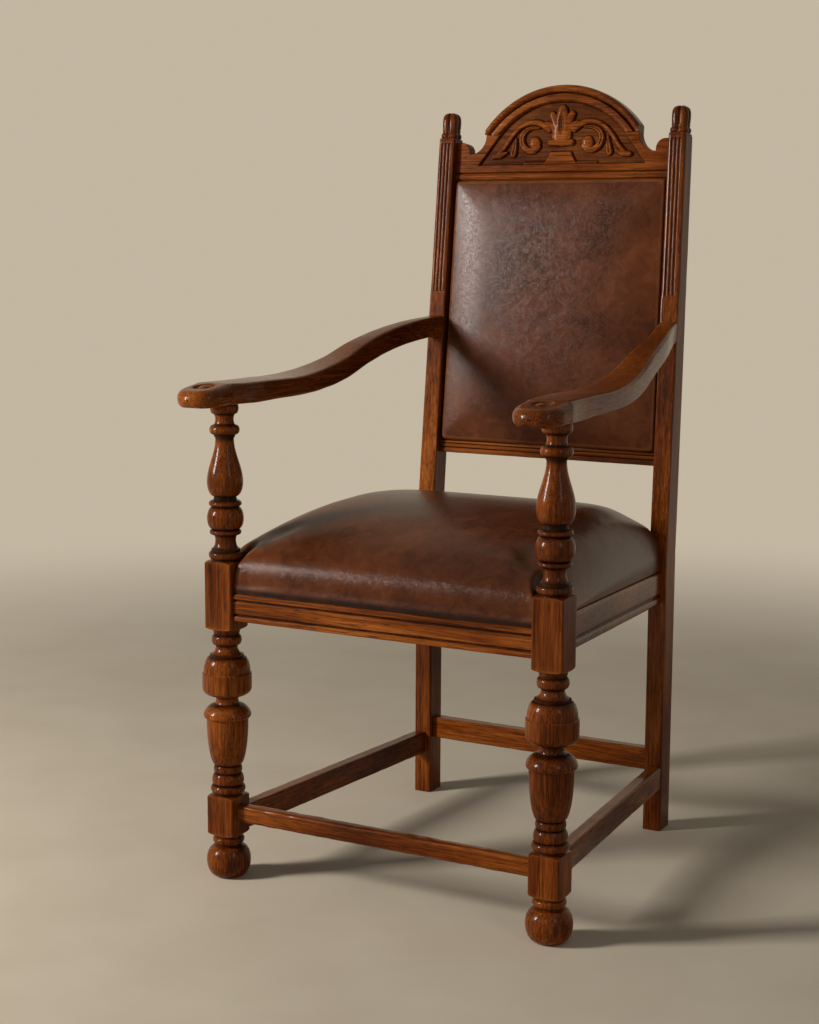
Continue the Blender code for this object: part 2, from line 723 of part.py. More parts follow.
def side_tenons(bar, name, side, x_front, x_back, front_z, back_z, hosts):
    """The two tenons of a bar that runs from front to back."""
    half = TENON_THICKNESS / 2
    for word, x, (low, high), host in (
        ("front", x_front, front_z, hosts[0]),
        ("back", x_back, back_z, hosts[1]),
    ):
        x0, x1 = side * x - half, side * x + half
        if word == "front":
            y0, y1 = BLOCK_HALF - TENON_LENGTH, SIDE_START + OVERLAP
        else:
            y0, y1 = SIDE_END - OVERLAP, FRAME_DEPTH + TENON_LENGTH
        tenon(bar, host, f"{name}_{word}", (x0, y0, low), (x1, y1, high))


SIDE_OUTER_FRONT = LEG_X + BLOCK_HALF - SIDE_RAIL_INSET_FRONT
SIDE_OUTER_BACK = BACK_X + POST_HALF - SIDE_RAIL_INSET_BACK
SIDE_BOTTOM_FRONT = SIDE_RAIL_TOP_FRONT - SIDE_RAIL_HEIGHT
SIDE_BOTTOM_BACK = SIDE_RAIL_TOP_BACK - SIDE_RAIL_HEIGHT


def side_outer(y):
    """Half the width over the side rails at a depth."""
    return blend(SIDE_OUTER_FRONT, SIDE_OUTER_BACK, (y - SIDE_START) / SIDE_RUN)


def side_inner(y):
    """Half the width between the side rails at a depth."""
    return side_outer(y) - RAIL_THICKNESS


def side_seat_rail(side, word, leg, post):
    """One side rail, tenoned into the front block and the back post."""
    name = word + "_seat_rail"
    section = side_rail_section(SIDE_RAIL_HEIGHT, RAIL_EDGE)
    inner_front, inner_back = side_inner(SIDE_START), side_inner(SIDE_END)
    mesh = side_bar(name, section, side, inner_front, inner_back, SIDE_BOTTOM_FRONT, SIDE_BOTTOM_BACK)
    rail = add(name, mesh, "oak")
    middle = SIDE_RAIL_TOP_BACK - SIDE_RAIL_HEIGHT / 2
    side_tenons(
        rail,
        name + "_tenon",
        side,
        inner_front + RAIL_THICKNESS / 2,
        inner_back + RAIL_THICKNESS / 2,
        (SIDE_BOTTOM_FRONT + TENON_SHOULDER, SIDE_RAIL_TOP_FRONT - TENON_SHOULDER),
        (middle + TENON_GAP * 4, SIDE_RAIL_TOP_BACK - TENON_SHOULDER),
        (leg, post),
    )


def side_stretcher(side, word, leg, post):
    """One side stretcher."""
    name = word + "_stretcher"
    height = SIDE_STRETCHER_TOP - SIDE_STRETCHER_BOTTOM
    inner_front = LEG_X + BLOCK_HALF - SIDE_STRETCHER_INSET_FRONT - STRETCHER_THICKNESS
    inner_back = BACK_X + POST_HALF - SIDE_STRETCHER_INSET_BACK - STRETCHER_THICKNESS
    bottom = SIDE_STRETCHER_BOTTOM
    section = plain_section(STRETCHER_THICKNESS, height)
    mesh = side_bar(name, section, side, inner_front, inner_back, bottom, bottom)
    bar = add(name, mesh, "oak")
    eased(bar, STRETCHER_EDGE)
    middle = STRETCHER_THICKNESS / 2
    low = bottom + TENON_SHOULDER
    high = min(SIDE_STRETCHER_TOP - TENON_SHOULDER, BACK_STRETCHER_BOTTOM + TENON_SHOULDER - TENON_GAP * 4)
    side_tenons(
        bar,
        name + "_tenon",
        side,
        inner_front + middle,
        inner_back + middle,
        (low, high),
        (low, high),
        (leg, post),
    )


# Arms


# Stations along an arm behind the hand, all as shares: of its length, of its bow, of the way from
# the width of its back end to that of the hand, of its rise, and of the thickness of its back end
ARM_STATIONS = (
    (0.055, -0.25, 0.874, 0.013, 0.952),
    (0.130, -0.12, 0.899, 0.019, 0.905),
    (0.260, 0.25, 0.848, 0.025, 0.889),
    (0.391, 0.69, 0.646, 0.101, 0.952),
    (0.521, 0.88, 0.470, 0.281, 1.032),
    (0.642, 1.00, 0.293, 0.555, 1.079),
    (0.782, 1.00, 0.091, 0.782, 1.048),
    (0.894, 0.56, 0.015, 0.920, 1.016),
    (1.000, 0.00, 0.000, 1.000, 1.000),
)


def arm_sections(side):
    """Sections of an arm from the tip of the hand to the post: middle, half width, top, underside, depth."""
    end = face_depth(ARM_END_MIDDLE) - GAP
    hand_centre = HAND_RADIUS - HAND_REACH
    rows = []
    for turn in HAND_TURNS:
        angle = math.radians(turn)
        y = hand_centre - HAND_RADIUS * math.cos(angle)
        rows.append((LEG_X, HAND_RADIUS * math.sin(angle), HAND_TOP, ARM_UNDERSIDE, y))
    step = HAND_LENGTH - HAND_REACH
    rows.append((LEG_X, HAND_RADIUS, HAND_TOP, ARM_UNDERSIDE, step))
    rows.append((LEG_X, HAND_RADIUS - HAND_STEP, HAND_TOP, ARM_UNDERSIDE, step + HAND_STEP))
    for along, bow, width, rise, thickness in ARM_STATIONS:
        middle = blend(LEG_X, post_x(ARM_END_MIDDLE), along) + bow * ARM_BOW
        half = blend(ARM_END_WIDTH / 2, HAND_RADIUS, width)
        top = HAND_TOP + rise * ARM_RISE
        rows.append((middle, half, top, top - thickness * ARM_END_THICKNESS, along * end))
    return [(side * x, half, top, under, y) for x, half, top, under, y in rows]


def arm(side, word, leg, post):
    """One arm: a loft from the hand to the post, bored for the leg's pin and tenoned into the post."""
    bm = bmesh.new()
    loops = []
    sections = arm_sections(side)
    for x, half, top, under, y in sections:
        ease = min(ARM_ROUNDING, half * 0.45)
        corners = (
            (half, under + ease), (half, top - ease), (half - ease, top), (ease - half, top),
            (-half, top - ease), (-half, under + ease), (ease - half, under), (half - ease, under),
        )
        last = y == sections[-1][4]
        ring = []
        for u, z in corners:
            depth = face_depth(z) - GAP if last else y
            ring.append(bm.verts.new((x + u, depth, z)))
        loops.append([bm.edges.new((ring[i], ring[(i + 1) % len(ring)])) for i in range(len(ring))])
    for near, far in zip(loops, loops[1:]):
        bmesh.ops.bridge_loops(bm, edges=near + far)
    for end_loop in (loops[0], loops[-1]):
        bmesh.ops.edgeloop_fill(bm, edges=end_loop)
    piece = add("arm_" + word, to_mesh(bm, "arm_" + word), "oak")
    middle, height = post_x(ARM_END_MIDDLE), ARM_END_MIDDLE
    half_width, half_height = TENON_THICKNESS / 2, ARM_TENON_HEIGHT / 2
    start = face_depth(height) - 2 * OVERLAP
    low = (side * middle - half_width, start, height - half_height)
    high = (side * middle + half_width, start + ARM_TENON_LENGTH + 2 * OVERLAP, height + half_height)
    tenon(piece, post, f"arm_tenon_{word}", low, high)
    bore = rod(ARM_PIN_RADIUS + TENON_GAP, ARM_UNDERSIDE - OVERLAP, ARM_PIN_TOP + GAP)
    cut(piece, turned_tool("arm_bore_" + word, bore, LEG_STEPS, location=leg.location))


# Back panel


CREST_MIDDLE = BACK_SET + CREST_THICKNESS / 2


def inner_width(rise):
    """Half the clear width between the posts at a distance up the leaning back."""
    return sloping_x(rise) - POST_HALF - GAP


def crest_outline():
    """Outline of the crest rail, from its bottom right corner round to its bottom left."""
    edge = inner_width(CREST_FLOOR + EAR_HEIGHT)
    seat_angle = math.degrees(math.asin((ARCH_SEAT + ARCH_CENTRE_DROP) / (ARCH_INNER - GAP)))
    right = [(inner_width(CREST_FLOOR), 0.0), (edge, EAR_HEIGHT)]
    ear = (EAR_INNER + EAR_RADIUS, EAR_HEIGHT - EAR_RADIUS)
    right += arc(ear, (EAR_RADIUS, EAR_RADIUS), 90, 180, 4)
    neck_rise = ARCH_SEAT - GAP - CREST_DIP
    neck = (EAR_INNER, ARCH_SEAT - GAP)
    right += arc(neck, (EAR_INNER - NECK_TOP_HALF, neck_rise), 270, 180, 5)
    arch = arc((0.0, -ARCH_CENTRE_DROP), (ARCH_INNER - GAP,) * 2, seat_angle, 180 - seat_angle, 16)
    left = [(-x, z) for x, z in reversed(right)]
    return right + arch + left


def carved_outline():
    """Outline of the sunk ground of the carving."""
    edge = ARCH_INNER + OVERLAP
    low = math.degrees(math.asin((ARCH_SEAT + ARCH_CENTRE_DROP) / edge))
    arch = arc((0.0, -ARCH_CENTRE_DROP), (edge, edge), low + 4, 176 - low, 16)
    return [(-CARVED_BASE_HALF, CARVED_BASE), (CARVED_BASE_HALF, CARVED_BASE)] + arch


def upright(mesh, depth, rise):
    """Stands an outline drawn in X and Z on the leaning back."""
    return laid(mesh, (0.0, depth, rise), (1, 0, 0), (0, 0, 1), (0, -1, 0))


def crest_rail(posts):
    """Carved board between the posts, with its ground cut back."""
    mesh = upright(plate("crest_rail", crest_outline(), CREST_THICKNESS), CREST_MIDDLE, CREST_FLOOR)
    crest = add("crest_rail", mesh, "oak", back_plane)
    ground = upright(plate("carved_ground", carved_outline(), 2 * CARVED_DEPTH), BACK_SET, CREST_FLOOR)
    cut(crest, tool("carved_ground", ground, back_plane))
    low, high = CREST_FLOOR + TENON_SHOULDER, CREST_FLOOR + EAR_HEIGHT - TENON_SHOULDER * 3
    cross_tenons(crest, "crest_tenon", inner_width(CREST_FLOOR), CREST_MIDDLE, low, high, posts, back_plane)


def arch_moulding():
    """Moulding that caps the arch of the crest: a ring of its section, cut off level at both ends."""
    centre = (0.0, 0.0, CREST_FLOOR - ARCH_CENTRE_DROP)
    width = ARCH_OUTER - ARCH_INNER
    torus = width * ARCH_BEAD_SHARE
    front, rear = BACK_SET - ARCH_PROUD, BACK_SET + CREST_THICKNESS
    section = [(ARCH_INNER, rear), (ARCH_OUTER, rear), (ARCH_OUTER, front + torus)]
    section += arc((ARCH_OUTER - torus, front + torus), (torus, torus), 0, -180, 6)[1:]
    groove, fillet = ARCH_OUTER - ARCH_GROOVE * torus, ARCH_OUTER - ARCH_FILLET * torus
    section += [(groove, front + torus), (fillet, front + torus / 2), (ARCH_INNER, front + torus / 2)]
    mesh = bpy.data.meshes.new("crest_arch_moulding")
    count = len(section)
    mesh.from_pydata([(r, y, 0.0) for r, y in section], [(i, (i + 1) % count) for i in range(count)], [])
    ring = add("crest_arch_moulding", mesh, "oak", back_plane, centre)
    spin(ring, ARCH_STEPS, "Y").use_normal_calculate = True
    reach = ARCH_OUTER * 2
    below = box("arch_ends", (-reach, -reach, -reach), (reach, reach, ARCH_SEAT + ARCH_CENTRE_DROP))
    cut(ring, tool("arch_ends", below, back_plane, centre))


def back_rail(name, bottom, height, posts):
    """A moulded rail between the posts, on the leaning back."""
    length = 2 * inner_width(bottom + height)
    section = moulded(CREST_THICKNESS, height, RAIL_EDGE * 0.7)
    rail = cross_rail(name, section, length, BACK_SET + CREST_THICKNESS, bottom, back_plane)
    share = height * 0.2
    face = inner_width(bottom + height)
    cross_tenons(
        rail, name + "_tenon", face, CREST_MIDDLE, bottom + share, bottom + height - share, posts, back_plane
    )


PANEL_LOW = up_slope(LOWER_RAIL_TOP, BACK_SET) + GAP
PANEL_HIGH = CREST_FLOOR - GAP - TOP_RAIL_HEIGHT - GAP


def panel(name, front, thickness, kind):
    """A flat sheet between the posts and the two rails of the back."""
    low_half, high_half = inner_width(PANEL_LOW), inner_width(PANEL_HIGH)
    outline = [(-low_half, PANEL_LOW), (low_half, PANEL_LOW)]
    outline += [(high_half, PANEL_HIGH), (-high_half, PANEL_HIGH)]
    mesh = upright(plate(name, outline, thickness), front + thickness / 2, 0.0)
    add(name, mesh, kind, back_plane)


def cushion(name, grid, place):
    """A crowned pad: a grid of skin whose rim is drawn down over its sides and closed below."""
    bm = bmesh.new()
    bmesh.ops.create_grid(bm, x_segments=grid[0], y_segments=grid[1], size=1.0)
    for level in (1, 2):
        rim = [e for e in bm.edges if e.is_boundary]
        lowered = bmesh.ops.extrude_edge_only(bm, edges=rim)["geom"]
        for vertex in (g for g in lowered if isinstance(g, bmesh.types.BMVert)):
            vertex.co.z = -level
    bmesh.ops.edgeloop_fill(bm, edges=[e for e in bm.edges if e.is_boundary])
    for vertex in bm.verts:
        vertex.co = place(vertex.co.x, vertex.co.y, round(-vertex.co.z))
    bmesh.ops.triangulate(bm, faces=bm.faces)
    return to_mesh(bm, name)


def dome(share, full, roll=1.0):
    """How full a pad is at a share of the way from its middle to its edge."""
    return max(0.0, 1.0 - abs(share) ** full) ** roll


def rounded_square(u, v, corner):
    """Pulls the corners of a square in, so that a pad's corners are rounded."""
    return u * (1 - corner * abs(u) ** 3 * v**4), v * (1 - corner * abs(v) ** 3 * u**4)


def back_pad_point(u, v, level):
    """A point of the back pad: level 0 is its face, 1 the roll of its edge, 2 its back."""
    u, v = rounded_square(u, v, BACK_PAD_CORNER)
    rise = blend(PANEL_LOW, PANEL_HIGH, (v + 1) / 2)
    draw = BACK_PAD_DRAW * (level < 2)
    half = inner_width(rise) - draw * (1 - v * v)
    shift = draw * (1 - u * u) * v
    full = dome(u, BACK_PAD_FULL) * dome(v, BACK_PAD_FULL)
    forward = (BACK_PAD_EDGE + BACK_PAD_CROWN * full, BACK_PAD_EDGE / 2, 0.0)[level]
    return Vector((half * u, BACK_PAD_BASE_DEPTH - forward, rise - shift))


# Seat


def seat_point(u, v, level):
    """A point of the seat pad: level 0 is its top, 1 the bulge of its side, 2 its underside."""
    u, v = math.sin(u * math.pi / 2), math.sin(v * math.pi / 2)
    u, v = rounded_square(u, v, SEAT_CORNER)
    front, rear = SEAT_FRONT, BACK_RAIL_REAR - SEAT_BACK_INSET
    y = blend(front, rear, (v + 1) / 2)
    draw = SEAT_DRAW * (level == 0)
    half = side_outer(min(y, SIDE_END)) - SEAT_SIDE_INSET - draw
    edge = blend(SEAT_EDGE, SEAT_EDGE_BACK, (v + 1) / 2)
    swell = SEAT_BULGE * (level == 1)
    full = dome(u, SEAT_FULL_ACROSS, SEAT_ROLL) * dome(v, SEAT_FULL_ALONG, SEAT_ROLL)
    height = (edge + SEAT_CROWN * full, (edge + FRONT_RAIL_TOP) / 2, SEAT_BASE)[level]
    inwards = draw * v
    return Vector(((half + swell) * u, y - inwards + swell * v * (v < 0), height))


def sloped_block(name, side, margin):
    """The side rail's space with a margin round it, as a solid to cut with."""
    low_x, high_x = -margin, RAIL_THICKNESS + SEAT_BULGE * 4
    top = SIDE_RAIL_HEIGHT + margin
    section = [(low_x, -margin), (high_x, -margin), (high_x, top), (low_x, top)]
    return side_bar(
        name, section, side, side_inner(SIDE_START), side_inner(SIDE_END), SIDE_BOTTOM_FRONT, SIDE_BOTTOM_BACK
    )


def seat_pad():
    """Leather-covered seat, cut to sit over the rails, between the front blocks and on the webbing."""
    seat = add("seat_pad", cushion("seat_pad", SEAT_GRID, seat_point), "leather")
    margin = LEATHER_GAP
    for side, word in ((-1, "left"), (1, "right")):
        name = "seat_notch_" + word
        low = (side * LEG_X - BLOCK_HALF, -BLOCK_HALF - margin, 0.0)
        high = (side * LEG_X + BLOCK_HALF, BLOCK_HALF, 1.0)
        cut(seat, tool(name, box(name, *grown(low, high, margin))))
        name = "seat_leg_notch_" + word
        hole = rod(BALL_BEAD_RADIUS + margin, UPPER_BLOCK_TOP - OVERLAP, SEAT_EDGE + 2 * SEAT_CROWN)
        cut(seat, turned_tool(name, hole, LEG_STEPS, location=(side * LEG_X, 0.0, 0.0)))
        name = "seat_over_rail_" + word
        cut(seat, tool(name, sloped_block(name, side, margin)))
        name = "seat_post_notch_" + word
        inner, outer = post_x(SEAT_EDGE_BACK + SEAT_CROWN) - POST_HALF, BACK_X + POST_HALF
        x0, x1 = sorted((side * inner, side * outer))
        low, high = (x0, FRAME_DEPTH, 0.0), (x1, FRAME_DEPTH + LEG_DEPTH, 1.0)
        cut(seat, tool(name, box(name, *grown(low, high, margin))))
    width = LEG_X
    low = (-width, FRONT_RAIL_FACE - SEAT_BULGE * 4, 0.0)
    high = (width, FRONT_RAIL_REAR, FRONT_RAIL_TOP)
    cut(seat, tool("seat_over_front_rail", box("seat_over_front_rail", *grown(low, high, margin))))
    low = (-BACK_X, BACK_RAIL_FACE, 0.0)
    high = (BACK_X, BACK_RAIL_REAR, SIDE_RAIL_TOP_BACK)
    cut(seat, tool("seat_over_back_rail", box("seat_over_back_rail", *grown(low, high, margin))))
    ends = (FRONT_RAIL_REAR, BACK_RAIL_FACE)
    outline = [(side_inner(y) * s, y) for s, y in ((-1, ends[0]), (1, ends[0]), (1, ends[1]), (-1, ends[1]))]
    mesh = plate("seat_over_frame", outline, WEB_TOP + GAP)
    laid(mesh, (0.0, 0.0, (WEB_TOP + GAP) / 2), (1, 0, 0), (0, 1, 0), (0, 0, 1))
    cut(seat, tool("seat_over_frame", mesh))


SLAT_FRONT = FRONT_RAIL_REAR + SLAT_GAP
SLAT_BACK = BACK_RAIL_FACE - SLAT_GAP
TONGUE_LOW = SLAT_BOTTOM + SLAT_THICKNESS / 3
TONGUE_HIGH = SLAT_BOTTOM + SLAT_THICKNESS * 2 / 3


def flat_plate(name, outline, bottom, thickness, kind):
    """A level sheet or slat."""
    mesh = plate(name, outline, thickness)
    laid(mesh, (0.0, 0.0, bottom + thickness / 2), (1, 0, 0), (0, 1, 0), (0, 0, 1))
    return add(name, mesh, kind)


def seat_half(y):
    """Half the width of the seat frame at a depth, clear of the rails and the front blocks."""
    return min(side_inner(min(y, FRAME_DEPTH)), LEG_X - BLOCK_HALF) - SLAT_GAP


def seat_slats():
    """Frame of the seat pad: slats across the front and back, and tongued slats between them."""
    slats = []
    for word, y0, y1 in (
        ("front", SLAT_FRONT, SLAT_FRONT + SLAT_WIDTH),
        ("back", SLAT_BACK - SLAT_WIDTH, SLAT_BACK),
    ):
        half0, half1 = seat_half(y0), seat_half(y1)
        outline = [(-half0, y0), (half0, y0), (half1, y1), (-half1, y1)]
        slats.append(flat_plate(f"seat_slat_{word}", outline, SLAT_BOTTOM, SLAT_THICKNESS, "frame_wood"))
    y0, y1 = SLAT_FRONT + SLAT_WIDTH + GAP, SLAT_BACK - SLAT_WIDTH - GAP
    for side, word in ((-1, "left"), (1, "right")):
        outer0, outer1 = seat_half(y0), seat_half(y1)
        outline = [(outer0 - SLAT_WIDTH, y0), (outer0, y0), (outer1, y1), (outer1 - SLAT_WIDTH, y1)]
        outline = [(side * x, y) for x, y in outline]
        slat = flat_plate(f"seat_slat_{word}", outline, SLAT_BOTTOM, SLAT_THICKNESS, "frame_wood")
        for number, (y, outer, host) in enumerate(((y0, outer0, slats[0]), (y1, outer1, slats[1]))):
            near = min(outer, LEG_X - BLOCK_HALF) - SLAT_WIDTH * 0.3
            x0, x1 = sorted((side * near, side * (near - SLAT_WIDTH * 0.4)))
            span = (y - SLAT_TONGUE, y + OVERLAP) if number == 0 else (y - OVERLAP, y + SLAT_TONGUE)
            name = f"slat_tongue_{word}_{number}"
            tenon(slat, host, name, (x0, span[0], TONGUE_LOW), (x1, span[1], TONGUE_HIGH))
        slats.append(slat)
    return slats


def webbing():
    """Straps along and across the seat frame, one layer over the other."""
    for number in range(WEB_COUNT):
        offset = (number - (WEB_COUNT - 1) / 2) * WEB_PITCH
        half = WEB_WIDTH / 2
        bottom = SLAT_TOP + GAP
        outline = [(offset - half, SLAT_FRONT), (offset + half, SLAT_FRONT)]
        outline += [(offset + half, SLAT_BACK), (offset - half, SLAT_BACK)]
        flat_plate(f"web_along_{number + 1}", outline, bottom, WEB_THICKNESS, "webbing")
        y = (SLAT_FRONT + SLAT_BACK) / 2 + offset
        reach = [(side_inner(d) - SLAT_GAP, d) for d in (y - half, y + half)]
        outline = [(-reach[0][0], reach[0][1]), reach[0], reach[1], (-reach[1][0], reach[1][1])]
        bottom += WEB_THICKNESS + GAP
        flat_plate(f"web_across_{number + 1}", outline, bottom, WEB_THICKNESS, "webbing")


def corner_blocks():
    """Glue blocks in the corners of the rails; the seat frame rests on them."""
    blocks = []
    reach = CORNER_BLOCK_REACH
    front, rear = FRONT_RAIL_REAR + GAP, BACK_RAIL_FACE - GAP
    leg = LEG_X - BLOCK_HALF - GAP
    post = BACK_X - POST_HALF - GAP
    for side, word in ((-1, "left"), (1, "right")):
        outline = [
            (leg - reach, front),
            (leg, front),
            (leg, SIDE_START),
            (side_inner(SIDE_START) - GAP, SIDE_START),
            (side_inner(SIDE_START + reach) - GAP, SIDE_START + reach),
        ]
        name = f"corner_block_front_{word}"
        outline = [(side * x, y) for x, y in outline]
        blocks.append(flat_plate(name, outline, CORNER_BOTTOM, CORNER_BLOCK_THICKNESS, "frame_wood"))
        stop = FRAME_DEPTH - GAP
        inner = min(post, side_inner(stop) - GAP)
        outline = [
            (post - reach, rear),
            (inner, rear),
            (inner, stop),
            (side_inner(stop - reach) - GAP, stop - reach),
        ]
        name = f"corner_block_back_{word}"
        outline = [(side * x, y) for x, y in outline]
        blocks.append(flat_plate(name, outline, CORNER_BOTTOM, CORNER_BLOCK_THICKNESS, "frame_wood"))
    return blocks


def screw_profile(extra):
    """A countersunk screw, point up, with a margin all round for its hole."""
    head = SCREW_HEAD_RADIUS + extra
    shank = SCREW_RADIUS + extra
    return [
        (0.0, -extra * 2),
        (head, -extra * 2),
        (head, SCREW_RIM),
        (shank, SCREW_HEAD_HEIGHT),
        (shank, SCREW_LENGTH - 2 * SCREW_RADIUS),
        (0.0, SCREW_LENGTH + extra),
    ]


def seat_screws(blocks, slats):
    """One screw up through each corner block into the seat frame."""
    start = CORNER_BOTTOM + GAP
    for block in blocks:
        words = block.name.replace("corner_block_", "")
        side = 1 if words.endswith("right") else -1
        if words.startswith("front"):
            place = (side * (LEG_X - BLOCK_HALF - CORNER_BLOCK_REACH / 3), SLAT_FRONT + SLAT_WIDTH / 2, start)
            slat = slats[0]
        else:
            place = (side * (BACK_X - POST_HALF - CORNER_BLOCK_REACH / 3), SLAT_BACK - SLAT_WIDTH / 2, start)
            slat = slats[1]
        name = "seat_screw_" + words
        spin(add(name, profile_mesh(name, screw_profile(0.0)), "steel", location=place), PIN_STEPS)
        hole = turned_tool("screw_hole_" + words, screw_profile(GAP), PIN_STEPS, location=place)
        cut(block, hole)
        cut(slat, hole)


def dust_cover():
    """Cloth below the seat, tacked to the corner blocks."""
    bottom = CORNER_BOTTOM - GAP - DUST_COVER_THICKNESS
    front, stop = FRONT_RAIL_REAR + SLAT_GAP, FRAME_DEPTH - SLAT_GAP
    leg = LEG_X - BLOCK_HALF - SLAT_GAP
    right = [
        (leg, front),
        (leg, SIDE_START + SLAT_GAP),
        (side_inner(SIDE_START) - SLAT_GAP, SIDE_START + SLAT_GAP),
        (side_inner(stop) - SLAT_GAP, stop),
    ]
    left = [(-x, y) for x, y in reversed(right)]
    flat_plate("seat_dust_cover", right + left, bottom, DUST_COVER_THICKNESS, "dust_cloth")


# The chair

SIDES = ((-1, "left"), (1, "right"))
legs = [front_leg(side, word) for side, word in SIDES]
posts = [back_post(side, word) for side, word in SIDES]

for (side, word), leg, post in zip(SIDES, legs, posts):
    finial(side, word, post)
    side_seat_rail(side, word, leg, post)
    side_stretcher(side, word, leg, post)
    arm(side, word, leg, post)

between_blocks = LEG_X - BLOCK_HALF - GAP
between_legs = BACK_X - POST_HALF - GAP

section = moulded(RAIL_THICKNESS, FRONT_RAIL_TOP - FRONT_RAIL_BOTTOM, RAIL_EDGE)
front_rail = cross_rail("front_seat_rail", section, 2 * between_blocks, FRONT_RAIL_REAR, FRONT_RAIL_BOTTOM)
low, high = FRONT_RAIL_BOTTOM + TENON_SHOULDER, FRONT_RAIL_TOP - TENON_SHOULDER
depth = FRONT_RAIL_REAR - RAIL_THICKNESS / 2
cross_tenons(front_rail, "front_rail_tenon", between_blocks, depth, low, high, legs)

section = plain_section(RAIL_THICKNESS, SIDE_RAIL_HEIGHT)
rear_rail = cross_rail("back_seat_rail", section, 2 * between_legs, BACK_RAIL_REAR, SIDE_BOTTOM_BACK)
low, high = SIDE_BOTTOM_BACK + TENON_SHOULDER, SIDE_BOTTOM_BACK + SIDE_RAIL_HEIGHT / 2 - TENON_GAP * 4
depth = BACK_RAIL_REAR - RAIL_THICKNESS / 2
cross_tenons(rear_rail, "back_rail_tenon", between_legs, depth, low, high, posts)

section = plain_section(STRETCHER_THICKNESS, FRONT_STRETCHER_TOP - FRONT_STRETCHER_BOTTOM)
front_bar = cross_rail(
    "front_stretcher", section, 2 * between_blocks, STRETCHER_THICKNESS / 2, FRONT_STRETCHER_BOTTOM
)
eased(front_bar, STRETCHER_EDGE)
low, high = FRONT_STRETCHER_BOTTOM + TENON_SHOULDER, FRONT_STRETCHER_TOP - TENON_SHOULDER
cross_tenons(front_bar, "front_stretcher_tenon", between_blocks, 0.0, low, high, legs)

section = plain_section(STRETCHER_THICKNESS, BACK_STRETCHER_TOP - BACK_STRETCHER_BOTTOM)
bar_rear = FRAME_DEPTH + LEG_DEPTH / 2 + STRETCHER_THICKNESS / 2
rear_bar = cross_rail("back_stretcher", section, 2 * between_legs, bar_rear, BACK_STRETCHER_BOTTOM)
eased(rear_bar, STRETCHER_EDGE)
low, high = BACK_STRETCHER_BOTTOM + TENON_SHOULDER, BACK_STRETCHER_TOP - TENON_SHOULDER
cross_tenons(rear_bar, "back_stretcher_tenon", between_legs, FRAME_DEPTH + LEG_DEPTH / 2, low, high, posts)

crest_rail(posts)
arch_moulding()
back_rail("top_back_rail", PANEL_HIGH + GAP, TOP_RAIL_HEIGHT, posts)
back_rail("lower_back_rail", up_slope(LOWER_RAIL_BOTTOM, BACK_SET), LOWER_RAIL_TOP - LOWER_RAIL_BOTTOM, posts)
add("back_pad", cushion("back_pad", BACK_PAD_GRID, back_pad_point), "leather", back_plane)
panel("back_board", BACK_PAD_BASE_DEPTH + GAP, BOARD_THICKNESS, "frame_wood")
panel("rear_back_cover", BACK_PAD_BASE_DEPTH + BOARD_THICKNESS + 2 * GAP, REAR_COVER_THICKNESS, "leather")

slats = seat_slats()
webbing()
blocks = corner_blocks()
seat_screws(blocks, slats)
dust_cover()
seat_pad()
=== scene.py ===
# %% [markdown]
# # A carved oak dining armchair with a leather seat and back
# The chair is the work of three trades. A turner made the front legs, a joiner the posts, rails,
# arms and carved crest, and an upholsterer the seat and the back. Each step below makes one of
# those pieces in Blender over the measured model, which is loaded first as a fixed frame.

# %% Load the measured model
import math

import bmesh
import bpy
import numpy as np
from mathutils import Matrix, Vector, noise


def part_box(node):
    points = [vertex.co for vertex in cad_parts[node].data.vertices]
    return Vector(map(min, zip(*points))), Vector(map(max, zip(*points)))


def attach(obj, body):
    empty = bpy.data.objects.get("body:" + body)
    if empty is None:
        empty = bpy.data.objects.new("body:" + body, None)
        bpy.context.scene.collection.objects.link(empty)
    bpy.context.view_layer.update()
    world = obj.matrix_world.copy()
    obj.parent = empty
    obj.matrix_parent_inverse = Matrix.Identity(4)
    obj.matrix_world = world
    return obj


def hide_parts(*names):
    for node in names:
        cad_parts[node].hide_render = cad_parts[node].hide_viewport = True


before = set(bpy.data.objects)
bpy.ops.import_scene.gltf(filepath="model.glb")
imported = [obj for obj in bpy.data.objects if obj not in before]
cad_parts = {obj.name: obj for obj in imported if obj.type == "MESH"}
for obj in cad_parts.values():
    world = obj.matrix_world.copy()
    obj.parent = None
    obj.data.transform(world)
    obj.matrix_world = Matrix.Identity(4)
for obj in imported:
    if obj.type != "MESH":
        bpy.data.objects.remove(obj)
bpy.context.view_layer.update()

SIDES = ((-1, "left"), (1, "right"))
leg_low, leg_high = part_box("front_leg_right")
LEG_X = (leg_low[0] + leg_high[0]) / 2
LEG_LINE = (leg_low[1] + leg_high[1]) / 2
print("front legs stand at x", round(LEG_X, 4), "and y", round(LEG_LINE, 4))

# %% [markdown]
# ## The camera
# The camera stands where the photographer stood: to the right of the chair, a little above the
# arms, looking slightly down. The numbers come from lining up the chair's own edges with the
# picture. A turn about Z, a tilt and a small roll are three rotations, so they are multiplied.

# %% Camera
IMAGE_HEIGHT = 1024
FOCAL_LENGTH_PIXELS = 1806.4
SENSOR = 36.0
CAMERA_PLACE = (1.2298, -2.3986, 0.9358)
CAMERA_TURN, CAMERA_TILT, CAMERA_ROLL = 0.506485, 0.148046, 0.004647

